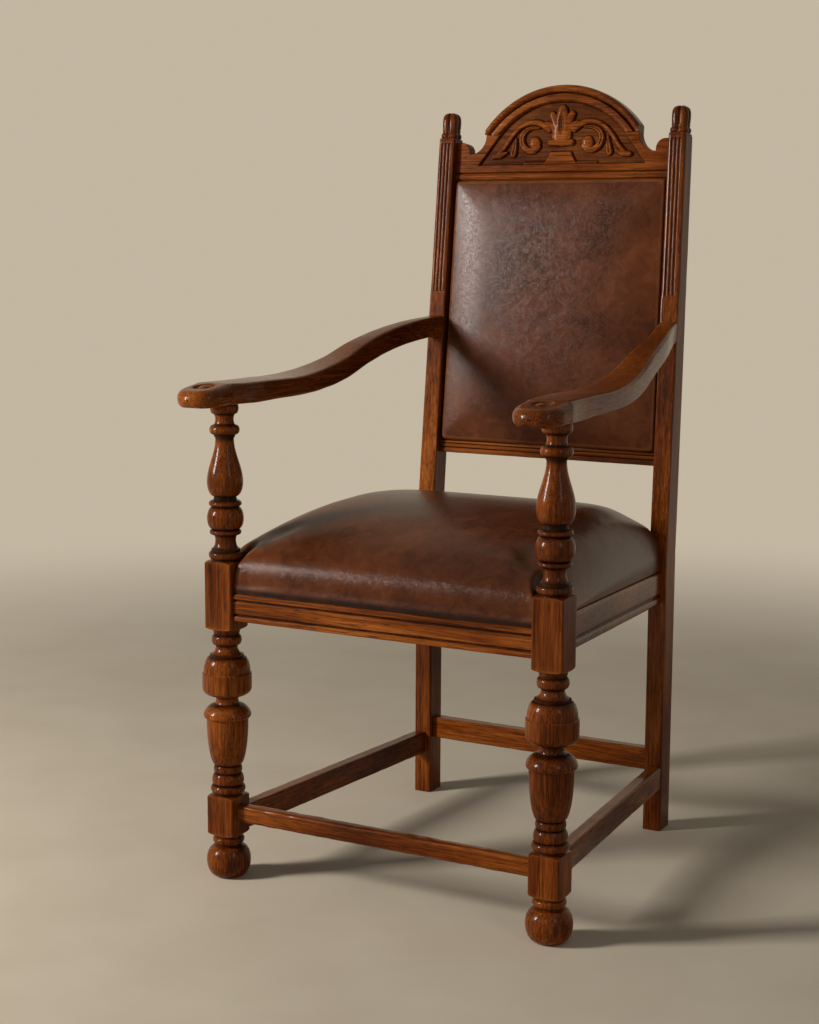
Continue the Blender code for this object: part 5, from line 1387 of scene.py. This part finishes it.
def arch_section():
    """(radius, depth) points round the moulding."""
    front, rear = CREST_SET - ARCH_PROUD, CREST_SET + CREST_THICKNESS
    bead = []
    for angle in np.linspace(0, math.pi, 15):
        across = ARCH_BEAD + ARCH_BEAD_HALF * math.cos(angle)
        bead.append((across, front + ARCH_BEAD_DEEP - ARCH_BEAD_DEEP * math.sin(angle)))
    inner = [(radius, front + behind) for radius, behind in ARCH_GROOVE_AND_BAND]
    inner.append((ARCH_INNER, front + 0.0060))
    return [(ARCH_INNER, rear), (0.1685, rear), (ARCH_OUTER, rear - 0.0014)] + bead + inner


def arch_moulding():
    """Spins the section, cuts it off level and trims it at the necks."""
    bm = bmesh.new()
    ring = [bm.verts.new((radius, depth, 0.0)) for radius, depth in arch_section()]
    edges = [bm.edges.new((ring[i - 1], ring[i])) for i in range(len(ring))]
    bmesh.ops.spin(
        bm, geom=ring + edges, cent=(0.0, 0.0, 0.0), axis=(0.0, -1.0, 0.0), angle=math.pi, steps=150,
    )
    for spot, facing in (
        ((0.0, 0.0, ARCH_SEAT + ARCH_DROP), (0.0, 0.0, 1.0)),
        ((NECK_HALF, 0.0, 0.0), (-1.0, 0.0, 0.0)),
        ((-NECK_HALF, 0.0, 0.0), (1.0, 0.0, 0.0)),
    ):
        everything = bm.verts[:] + bm.edges[:] + bm.faces[:]
        bmesh.ops.bisect_plane(
            bm, geom=everything, plane_co=spot, plane_no=facing, clear_inner=True
        )
        bmesh.ops.holes_fill(bm, edges=[e for e in bm.edges if e.is_boundary])
    place = leaning @ Matrix.Translation((0.0, 0.0, CREST_FLOOR - ARCH_DROP))
    bmesh.ops.transform(bm, matrix=place, verts=bm.verts)
    finished(bm, "arch_moulding", oak_across, ["crest_arch_moulding"], sharp=40.0)


arch_moulding()

# %% Rails of the back
LOWER_RAIL_BOTTOM, LOWER_RAIL_TOP = 0.588, 0.608
LOWER_RAIL_TALL, BEAD_TALL = 0.0199, 0.012


def up_the_back(height):
    """Distance up the leaning back at a height above the floor."""
    return (height - RAKE_START + CREST_SET * math.sin(RAKE)) / math.cos(RAKE)


PANEL_LOW = up_the_back(LOWER_RAIL_TOP) + JOINT_GAP
PANEL_HIGH = CREST_FLOOR - 2 * JOINT_GAP - BEAD_TALL
LOWER_RAIL = up_the_back(LOWER_RAIL_BOTTOM)


def on_the_back(rise, height):
    """Places a bar between the posts on the leaning back."""
    half = sloping_x(rise + height) - POST_HALF - JOINT_GAP
    rear = CREST_SET + CREST_THICKNESS
    return lambda share, forward, up: leaning @ Vector(
        (blend(-half, half, share), rear - forward, rise + up)
    )


def bead_strip(t, h):
    """A small bead between two quirks."""
    arc = []
    for angle in np.linspace(0, math.pi, 9):
        forward = t - 0.0030 + 0.0030 * math.sin(angle)
        arc.append((forward, h * 0.48 - h * 0.44 * math.cos(angle)))
    rear = [(t - 0.0036, h * 0.96), (t - 0.0036, h), (0.0, h)]
    return [(0.0, 0.0), (t - 0.0034, 0.0)] + arc + rear


def lower_moulded(t, h):
    """Two flats with a deep quirk and a lower bead."""
    return [
        (0.0, 0.0), (t - 0.0012, 0.0), (t, h * 0.08), (t, h * 0.34), (t - 0.0012, h * 0.40),
        (t - 0.0030, h * 0.42), (t - 0.0030, h * 0.47), (t - 0.0008, h * 0.50),
        (t - 0.0004, h * 0.72), (t - 0.0026, h * 0.76), (t - 0.0026, h * 0.80),
        (t - 0.0010, h * 0.83), (t - 0.0010, h * 0.94), (t - 0.0022, h), (0.0, h),
    ]


bar("bead_under_crest", eased(bead_strip(CREST_THICKNESS, BEAD_TALL), 0.0006),
    on_the_back(PANEL_HIGH + JOINT_GAP, BEAD_TALL), oak_across, "top_back_rail", 0.00025)
bar("moulded_lower_rail", eased(lower_moulded(CREST_THICKNESS, LOWER_RAIL_TALL), 0.0007),
    on_the_back(LOWER_RAIL, LOWER_RAIL_TALL), oak_across, "lower_back_rail", 0.00025)

# %% [markdown]
# ## Upholstery
# The seat and back are stuffed pads under leather. Formulas give each pad its crown and its rolled
# edges, in the place of the measured solid. The seat then gets a short cloth simulation that blows
# it up slightly under tension, so that its skin loses the look of a formula. Points that are tacked
# down are held, and no point may move further than a few millimetres, so the seat keeps its place.


# %% Cloth for the seat
def as_object(mesh, name):
    """A scratch object that carries modifiers for a moment."""
    scratch = bpy.data.objects.new(name, mesh)
    bpy.context.collection.objects.link(scratch)
    return scratch


def modified(scratch):
    """The mesh that an object's modifiers give."""
    graph = bpy.context.evaluated_depsgraph_get()
    return bpy.data.meshes.new_from_object(scratch.evaluated_get(graph))


def vertex_array(mesh):
    """A mesh's points as an array."""
    values = np.empty(len(mesh.vertices) * 3)
    mesh.vertices.foreach_get("co", values)
    return values.reshape(-1, 3)


PRESSURE, CLOTH_FRAMES = 4.0, 20
PAD_FILL, SKIN_REACH = 0.8, 0.02


def puffed(mesh, held, cap, calm):
    """Blows a pad up as tight cloth. Held points stay, cap limits the move, calm evens it out."""
    start = vertex_array(mesh)
    scratch = as_object(mesh, "scratch_cloth")
    group = scratch.vertex_groups.new(name="tacked")
    group.add([int(i) for i in np.nonzero(held)[0]], 1.0, "REPLACE")
    step = scratch.modifiers.new("cloth", "CLOTH")
    step.settings.use_pressure = True
    step.settings.uniform_pressure_force = PRESSURE
    step.settings.effector_weights.gravity = 0.0
    step.settings.vertex_group_mass = "tacked"
    step.settings.quality = 6
    step.settings.tension_stiffness = 25.0
    step.settings.compression_stiffness = 25.0
    step.settings.bending_stiffness = 2.0
    step.point_cache.frame_start, step.point_cache.frame_end = 1, CLOTH_FRAMES
    for number in range(1, CLOTH_FRAMES + 1):
        bpy.context.scene.frame_set(number)
    result = modified(scratch)
    move = np.nan_to_num(vertex_array(result) - start)
    bpy.data.objects.remove(scratch)
    bpy.data.meshes.remove(result)
    bpy.context.scene.frame_set(1)
    ends = np.empty(len(mesh.edges) * 2, dtype=np.int32)
    mesh.edges.foreach_get("vertices", ends)
    ends = ends.reshape(-1, 2).T
    for _ in range(calm):
        move = np.stack([neighbour_mean(move[:, k], ends, len(start)) for k in range(3)], axis=1)
        move[held] = 0.0
    length = np.maximum(np.linalg.norm(move, axis=1), 1e-9)
    print("cloth moved a point by up to", round(float(length.max()) * 1000, 1), "mm")
    move *= np.minimum(1.0, cap / length)[:, None]
    mesh.vertices.foreach_set("co", (start + move).ravel())
    mesh.update()


def padded_piece(mesh, name, nodes):
    """A leather pad with one subdivision."""
    mesh.shade_smooth()
    mark_wear(mesh, SKIN_REACH)
    piece = as_piece(mesh, name, leather, nodes)
    finer = piece.modifiers.new("smooth_skin", "SUBSURF")
    finer.levels = finer.render_levels = 1


# %% [markdown]
# The seat is crowned: nearly level across, arched from the front to the back, and rolled over along
# its edges. Its leather is cut out round the leg blocks and the posts, and is tacked down on the
# rails. So a grid is cut out at its four corners, its rim is drawn down in five steps, and a second
# grid closes it below. Rows and columns lie closer together where the skin rolls over.

# %% Shape of the seat
SEAT_FRONT, SEAT_REAR = -0.0145, 0.531
SEAT_EDGE, SEAT_EDGE_BACK = 0.459, 0.463
SEAT_ROLL_HIGH, SEAT_ROLL_WIDE = 0.022, 0.022
SEAT_CROWN, SEAT_RIM_OUT, SEAT_SWELL = 0.0670, 0.0031, 0.0035
SWELL_TOP, SWELL_BOTTOM = 0.35, 0.94
SEAT_FULL_ACROSS, SEAT_FULL_ALONG, SEAT_CURVE = 8.2, 2.06, 0.8
SIDE_FACE_FRONT, SIDE_FACE_BACK, SIDE_INSET = 0.28065, 0.2173, 0.004
FRONT_CORNER, REAR_CORNER, CORNER_ROLL = 0.476, 0.474, 0.018
ON_FRONT_RAIL, ON_SIDE_RAIL, ON_BACK_RAIL, ON_SLATS = 0.4324, 0.4509, 0.4229, 0.4172
LEATHER_GAP = 0.0006
FRONT_CUT, REAR_CUT = BLOCK_HALF + LEATHER_GAP, FRAME_DEPTH - LEATHER_GAP
SKIRT = 5


def along_side(y):
    """Share of the way along a side rail."""
    return min(1.0, max(0.0, (y - SIDE_START) / (SIDE_END - SIDE_START)))


def seat_half(y):
    """Half the width of the seat."""
    return blend(SIDE_FACE_FRONT, SIDE_FACE_BACK, along_side(y)) - SIDE_INSET


def cut_half(y):
    """Half the width of the part that runs between the blocks and between the posts."""
    share = (y - FRONT_CUT) / (REAR_CUT - FRONT_CUT)
    return blend(LEG_X - BLOCK_HALF, BACK_X - POST_HALF, min(1.0, max(0.0, share))) - LEATHER_GAP


def roll_down(distance, reach):
    """A quarter round from 0 at an edge to 1 at its reach."""
    return math.sqrt(1 - (1 - min(1.0, max(0.0, distance) / reach)) ** 2)


def seat_top(x, y):
    """Height of the seat's top, with a roll at the cut corners."""
    front = SEAT_FRONT - SEAT_RIM_OUT
    v = min(1.0, max(-1.0, (y - front) / (SEAT_REAR - front) * 2 - 1))
    u = min(1.0, abs(x) / (seat_half(y) + SEAT_RIM_OUT))
    across = (1 - u**SEAT_FULL_ACROSS) ** SEAT_CURVE
    full = across * (1 - abs(v) ** SEAT_FULL_ALONG) ** SEAT_CURVE
    from_side = (1 - u) * (seat_half(y) + SEAT_RIM_OUT)
    from_end = min(y - front, SEAT_REAR - y)
    round_over = roll_down(from_side, SEAT_ROLL_WIDE) * roll_down(from_end, SEAT_ROLL_WIDE)
    height = blend(SEAT_EDGE, SEAT_EDGE_BACK, (v + 1) / 2)
    height += SEAT_CROWN * full + SEAT_ROLL_HIGH * round_over
    inside = max(0.0, cut_half(y) - abs(x))
    for beyond, level in ((y - FRONT_CUT, FRONT_CORNER), (REAR_CUT - y, REAR_CORNER)):
        rolled = roll_down(math.hypot(inside, max(0.0, beyond)), CORNER_ROLL)
        height -= max(0.0, height - level) * (1 - rolled)
    return height


def seat_floor(x, y):
    """Height of the seat's underside: on the rails at its edge and on the slats inside them."""
    half = seat_half(y)
    outer = max(0.0, (abs(x) - cut_half(y)) / (half - cut_half(y)))
    on_rail = blend(ON_FRONT_RAIL, ON_BACK_RAIL, (y - SEAT_FRONT) / (SEAT_REAR - SEAT_FRONT))
    on_side = blend(ON_SIDE_RAIL, ON_BACK_RAIL, along_side(y))
    rail = blend(on_rail, on_side, float(smooth_step(outer, 0.0, 0.45)))
    edge = min(y - SEAT_FRONT, SEAT_REAR - y, half - abs(x))
    return blend(rail, ON_SLATS, float(smooth_step(edge, 0.020, 0.030)))


# %% Mesh of the seat
INNER_COLUMNS, OUTER_COLUMNS = 80, 7
FRONT_ROWS, MIDDLE_ROWS, REAR_ROWS = 8, 74, 4
COLUMNS = INNER_COLUMNS + 2 * OUTER_COLUMNS
ROWS = FRONT_ROWS + MIDDLE_ROWS + REAR_ROWS
CLOSER = 1.5


def row_depth(row):
    """Depth of a row of the grid."""
    if row <= FRONT_ROWS:
        return blend(SEAT_FRONT - SEAT_RIM_OUT, FRONT_CUT, (row / FRONT_ROWS) ** CLOSER)
    if row <= FRONT_ROWS + MIDDLE_ROWS:
        return blend(FRONT_CUT, REAR_CUT, (row - FRONT_ROWS) / MIDDLE_ROWS)
    return blend(REAR_CUT, SEAT_REAR, (row - FRONT_ROWS - MIDDLE_ROWS) / REAR_ROWS)


def column_place(column, y, half):
    """Place across the seat of a column at a depth."""
    off = column - COLUMNS / 2
    inner = INNER_COLUMNS / 2
    if abs(off) <= inner:
        return cut_half(y) * off / inner
    share = 1 - (1 - (abs(off) - inner) / OUTER_COLUMNS) ** CLOSER
    return math.copysign(blend(cut_half(y), half, share), off)


def swelling(share):
    """How far the side stands out at a share of the way down: most just below the top."""
    return SEAT_SWELL * math.sin(math.pi * blend(SWELL_TOP, SWELL_BOTTOM, share))


def seat_point(column, row, level):
    """A point of the seat: level 0 is the top and the last level the underside."""
    share = level / SKIRT
    out = swelling(share)
    y = row_depth(row)
    x = column_place(column, y, seat_half(y) + SEAT_RIM_OUT * (level == 0))
    if column in (0, COLUMNS):
        x = math.copysign(seat_half(y) + out, column - COLUMNS / 2)
    top = seat_top(column_place(column, y, seat_half(y) + SEAT_RIM_OUT), y)
    floor = seat_floor(x, y)
    if row == 0:
        y = SEAT_FRONT - out
    return (x, y, blend(top, floor, share))


def in_a_cut(spot):
    """Whether a face of the grid lies where a block or a post stands."""
    outside = abs(spot.x) * COLUMNS / 2 > INNER_COLUMNS / 2
    row = (spot.y + 1) / 2 * ROWS
    return outside and not FRONT_ROWS < row < FRONT_ROWS + MIDDLE_ROWS


def seat_pad_mesh():
    """The cut grid, its rim drawn down in steps, and a grid below. Also gives its tacked points."""
    bm = bmesh.new()
    bmesh.ops.create_grid(bm, x_segments=COLUMNS, y_segments=ROWS, size=1.0)
    cut = [f for f in bm.faces if in_a_cut(f.calc_center_median())]
    bmesh.ops.delete(bm, geom=cut, context="FACES")
    everything = bm.verts[:] + bm.edges[:] + bm.faces[:]
    for vertex in verts_of(bmesh.ops.duplicate(bm, geom=everything)["geom"]):
        vertex.co.z = -SKIRT
    rim = [e for e in bm.edges if e.is_boundary and e.verts[0].co.z > -0.5]
    for level in range(1, SKIRT + 1):
        made = bmesh.ops.extrude_edge_only(bm, edges=rim)["geom"]
        for vertex in verts_of(made):
            vertex.co.z = -level
        fresh = set(verts_of(made))
        rim = [g for g in made if isinstance(g, bmesh.types.BMEdge) and fresh.issuperset(g.verts)]
    bmesh.ops.remove_doubles(bm, verts=bm.verts, dist=0.0001)
    tacked = []
    for vertex in bm.verts:
        level = round(-vertex.co.z)
        column = round((vertex.co.x + 1) / 2 * COLUMNS)
        row = round((vertex.co.y + 1) / 2 * ROWS)
        vertex.co = Vector(seat_point(column, row, level)) + Vector((0.0, LEG_LINE, 0.0))
        tacked.append(level >= SKIRT - 1)
    bmesh.ops.recalc_face_normals(bm, faces=bm.faces)
    mesh = bpy.data.meshes.new("leather_seat")
    bm.to_mesh(mesh)
    bm.free()
    return mesh, np.array(tacked)


seat_mesh, seat_tacked = seat_pad_mesh()
puffed(seat_mesh, seat_tacked, cap=0.004, calm=8)
padded_piece(seat_mesh, "leather_seat", ["seat_pad"])

# %% [markdown]
# The back pad fills the frame between the posts. Its face slopes up from all four edges, so that the
# slopes meet in a fold at each corner, and then flattens into a soft crown. Above and below, the
# skin presses about a millimetre into the wood, so that no gap shows.

# %% Back pad
PAD_BASE, PAD_EDGE, PAD_CROWN = 0.0205, 0.0125, 0.0120
PAD_DRAW = 0.0006
PAD_SLOPE, PAD_ROLL = 0.085, 0.007
PAD_LOW, PAD_HIGH = PANEL_LOW - 0.0010, PANEL_HIGH + 0.0012
FOLD_DEPTH, FOLD_REACH = 0.0022, 0.006


def pad_face(x, rise, half):
    """How far the pad's face stands in front of its base."""
    edge_x = half - abs(x)
    edge_z = min(rise - PAD_LOW, PAD_HIGH - rise)
    near = min(edge_x, edge_z)
    near = max(0.0, near - FOLD_DEPTH * math.exp(-abs(edge_x - edge_z) / FOLD_REACH))
    hip = 1 - (1 - min(1.0, near / PAD_SLOPE)) ** 2.6
    roll = roll_down(near, PAD_ROLL)
    u, v = x / half, (rise - PANEL_LOW) / (PANEL_HIGH - PANEL_LOW) * 2 - 1
    crown = max(0.0, 1 - abs(u) ** 2.4) * max(0.0, 1 - abs(v) ** 2.6)
    return PAD_EDGE * roll + PAD_CROWN * (0.45 * hip + 0.55 * crown)


def back_pad_mesh():
    """A fine grid over the frame, with a flat copy behind it and a rim between them."""
    bm = bmesh.new()
    bmesh.ops.create_grid(bm, x_segments=84, y_segments=104, size=1.0)
    behind = bmesh.ops.extrude_face_region(bm, geom=bm.faces[:], use_keep_orig=True)["geom"]
    for vertex in verts_of(behind):
        vertex.co.z = -1.0
    for vertex in bm.verts:
        u, v = (math.sin(t * math.pi / 2) * 0.55 + t * 0.45 for t in vertex.co.xy)
        rise = blend(PAD_LOW, PAD_HIGH, (v + 1) / 2) - PAD_DRAW * (1 - u * u) * v
        half = sloping_x(rise) - POST_HALF - JOINT_GAP - PAD_DRAW * (1 - v * v)
        forward = 0.0 if vertex.co.z < 0 else pad_face(half * u, rise, half)
        vertex.co = leaning @ Vector((half * u, PAD_BASE - forward, rise))
    bmesh.ops.translate(bm, verts=bm.verts, vec=(0.0, LEG_LINE, 0.0))
    bmesh.ops.recalc_face_normals(bm, faces=bm.faces)
    mesh = bpy.data.meshes.new("leather_back")
    bm.to_mesh(mesh)
    bm.free()
    return mesh


back_mesh = back_pad_mesh()
padded_piece(back_mesh, "leather_back", ["back_pad"])

# %% [markdown]
# ## Back of the back and underside
# The rear of the back is closed with a plain sheet of leather, drawn tight over the frame. A thin
# black cloth closes the seat from below and sags slightly. Both are grids with a small thickness.

# %% Cloths
weave, weave_in, weave_out = new_group(
    "weave", [("Vector", "vector")], [("Threads", "value"), ("Tone", "value")]
)


def wire_weave(tree, start, end):
    """Crossing threads and slow changes of tone."""
    place = start.outputs["Vector"]
    threads = []
    for way in ("X", "Y"):
        wave = tree.nodes.new("ShaderNodeTexWave")
        wave.bands_direction = way
        feed(tree, wave.inputs["Vector"], place)
        wave.inputs["Scale"].default_value = 180.0
        wave.inputs["Distortion"].default_value = 0.6
        threads.append(wave.outputs["Fac"])
    tree.links.new(sum_of(tree, "MULTIPLY", *threads), end.inputs["Threads"])
    tree.links.new(cloudy(tree, place, 16.0, 4.0, 0.6)[0], end.inputs["Tone"])


def cloth_finish(name, dark, light):
    """Plain woven cloth."""
    material, tree, shader, coordinates = new_material(name)
    woven = placed(tree, weave, Vector=coordinates)
    share = sum_of(tree, "MULTIPLY", sum_of(tree, "ADD", woven["Threads"], woven["Tone"]), 0.6)
    tree.links.new(graded(tree, share, ((0.2, dark), (0.75, light))), shader.inputs["Base Color"])
    worn = sum_of(tree, "MULTIPLY_ADD", woven["Tone"], 0.15)
    worn.node.inputs[2].default_value = 0.78
    tree.links.new(worn, shader.inputs["Roughness"])
    shader.inputs["Specular IOR Level"].default_value = 0.2
    raised(tree, shader, woven["Threads"], 0.4, 0.0005)
    return material


wire_weave(weave, weave_in, weave_out)
black_cloth = cloth_finish("black_dust_cloth", (0.006, 0.006, 0.006), (0.030, 0.028, 0.026))
jute = cloth_finish("jute_webbing", (0.16, 0.105, 0.055), (0.42, 0.30, 0.17))
print("cloth finishes:", black_cloth.name, jute.name)


# %% Rear cover and dust cover
def thin_sheet(name, segments, place, thickness, finish, node):
    """A grid laid out by place and given a thickness."""
    bm = bmesh.new()
    bmesh.ops.create_grid(bm, x_segments=segments[0], y_segments=segments[1], size=1.0)
    for vertex in bm.verts:
        vertex.co = place(vertex.co.x, vertex.co.y)
    bmesh.ops.recalc_face_normals(bm, faces=bm.faces)
    bmesh.ops.solidify(bm, geom=bm.faces[:], thickness=thickness)
    return finished(bm, name, finish, [node], reach=0.01)


REAR_COVER, REAR_INSET = 0.0305, 0.0015


def rear_place(u, v):
    """The rear cover, tight between its rails with a shallow hollow."""
    rise = blend(PANEL_LOW + 0.001, PANEL_HIGH - 0.001, (v + 1) / 2)
    half = sloping_x(rise) - POST_HALF - REAR_INSET
    hollow = 0.0016 * (1 - u**4) * (1 - v**4)
    return leaning @ Vector((half * u, REAR_COVER - hollow, rise))


rear_cover = thin_sheet(
    "rear_leather", (36, 44), rear_place, 0.0016, leather, "rear_back_cover"
)

dust_low, dust_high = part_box("seat_dust_cover")
DUST_FRONT, DUST_REAR = dust_low[1] - LEG_LINE + 0.022, dust_high[1] - LEG_LINE
DUST_HALF_FRONT, DUST_HALF_REAR = 0.2335, 0.1935


def dust_place(u, v):
    """The dust cover, sagging a little in the middle."""
    half = blend(DUST_HALF_FRONT, DUST_HALF_REAR, (v + 1) / 2)
    sag = 0.004 * (1 - u**2) * (1 - v**2)
    return (half * u, blend(DUST_FRONT, DUST_REAR, (v + 1) / 2), dust_high[2] - sag)


dust_cover = thin_sheet(
    "dust_cloth_below", (32, 32), dust_place, 0.0007, black_cloth, "seat_dust_cover"
)

# %% [markdown]
# ## Parts inside the seat and the back
# The board behind the back pad, the seat frame with its corner blocks, the webbing and the screws are
# out of sight. They keep the measured shapes and get the finish of their material.

# %% Finishes of the hidden parts
BEECH_STOPS = (
    (0.2, (0.24, 0.135, 0.062)), (0.55, (0.38, 0.235, 0.120)), (0.9, (0.50, 0.330, 0.180)),
)
STEEL_STOPS = ((0.45, (0.30, 0.29, 0.28)), (0.65, (0.16, 0.075, 0.035)))


def beech_finish(name):
    """Plain unpolished frame wood."""
    material, tree, shader, coordinates = new_material(name)
    along = stretched(tree, coordinates, (1, 1, 1), (0.0, QUARTER, 0.0))
    grain = placed(tree, wood_grain, Vector=along)
    colour = graded(tree, grain["Figure"], BEECH_STOPS)
    tree.links.new(colour, shader.inputs["Base Color"])
    dull = sum_of(tree, "MULTIPLY_ADD", grain["Figure"], -0.1)
    dull.node.inputs[2].default_value = 0.75
    tree.links.new(dull, shader.inputs["Roughness"])
    raised(tree, shader, grain["Figure"], 0.2, 0.0005)
    return material


def steel_finish(name):
    """Dull steel with spots of rust."""
    material, tree, shader, coordinates = new_material(name)
    spots = cloudy(tree, coordinates, 300.0, 4.0, 0.6)[0]
    tree.links.new(graded(tree, spots, STEEL_STOPS), shader.inputs["Base Color"])
    tree.links.new(between(tree, spots, 0.3, 0.7), shader.inputs["Roughness"])
    tree.links.new(between(tree, spots, 0.70, 0.50), shader.inputs["Metallic"])
    raised(tree, shader, spots, 0.15, 0.0003)
    return material


beech, steel = beech_finish("frame_beech"), steel_finish("screw_steel")
KEPT_FINISHES = {
    "back_board": beech, "seat_slat": beech, "corner_block": beech, "web_": jute, "seat_screw": steel
}
for node_name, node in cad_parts.items():
    for start, finish in KEPT_FINISHES.items():
        if node_name.startswith(start):
            node.data.materials.clear()
            node.data.materials.append(finish)
            print("finished", node_name, "with", finish.name)
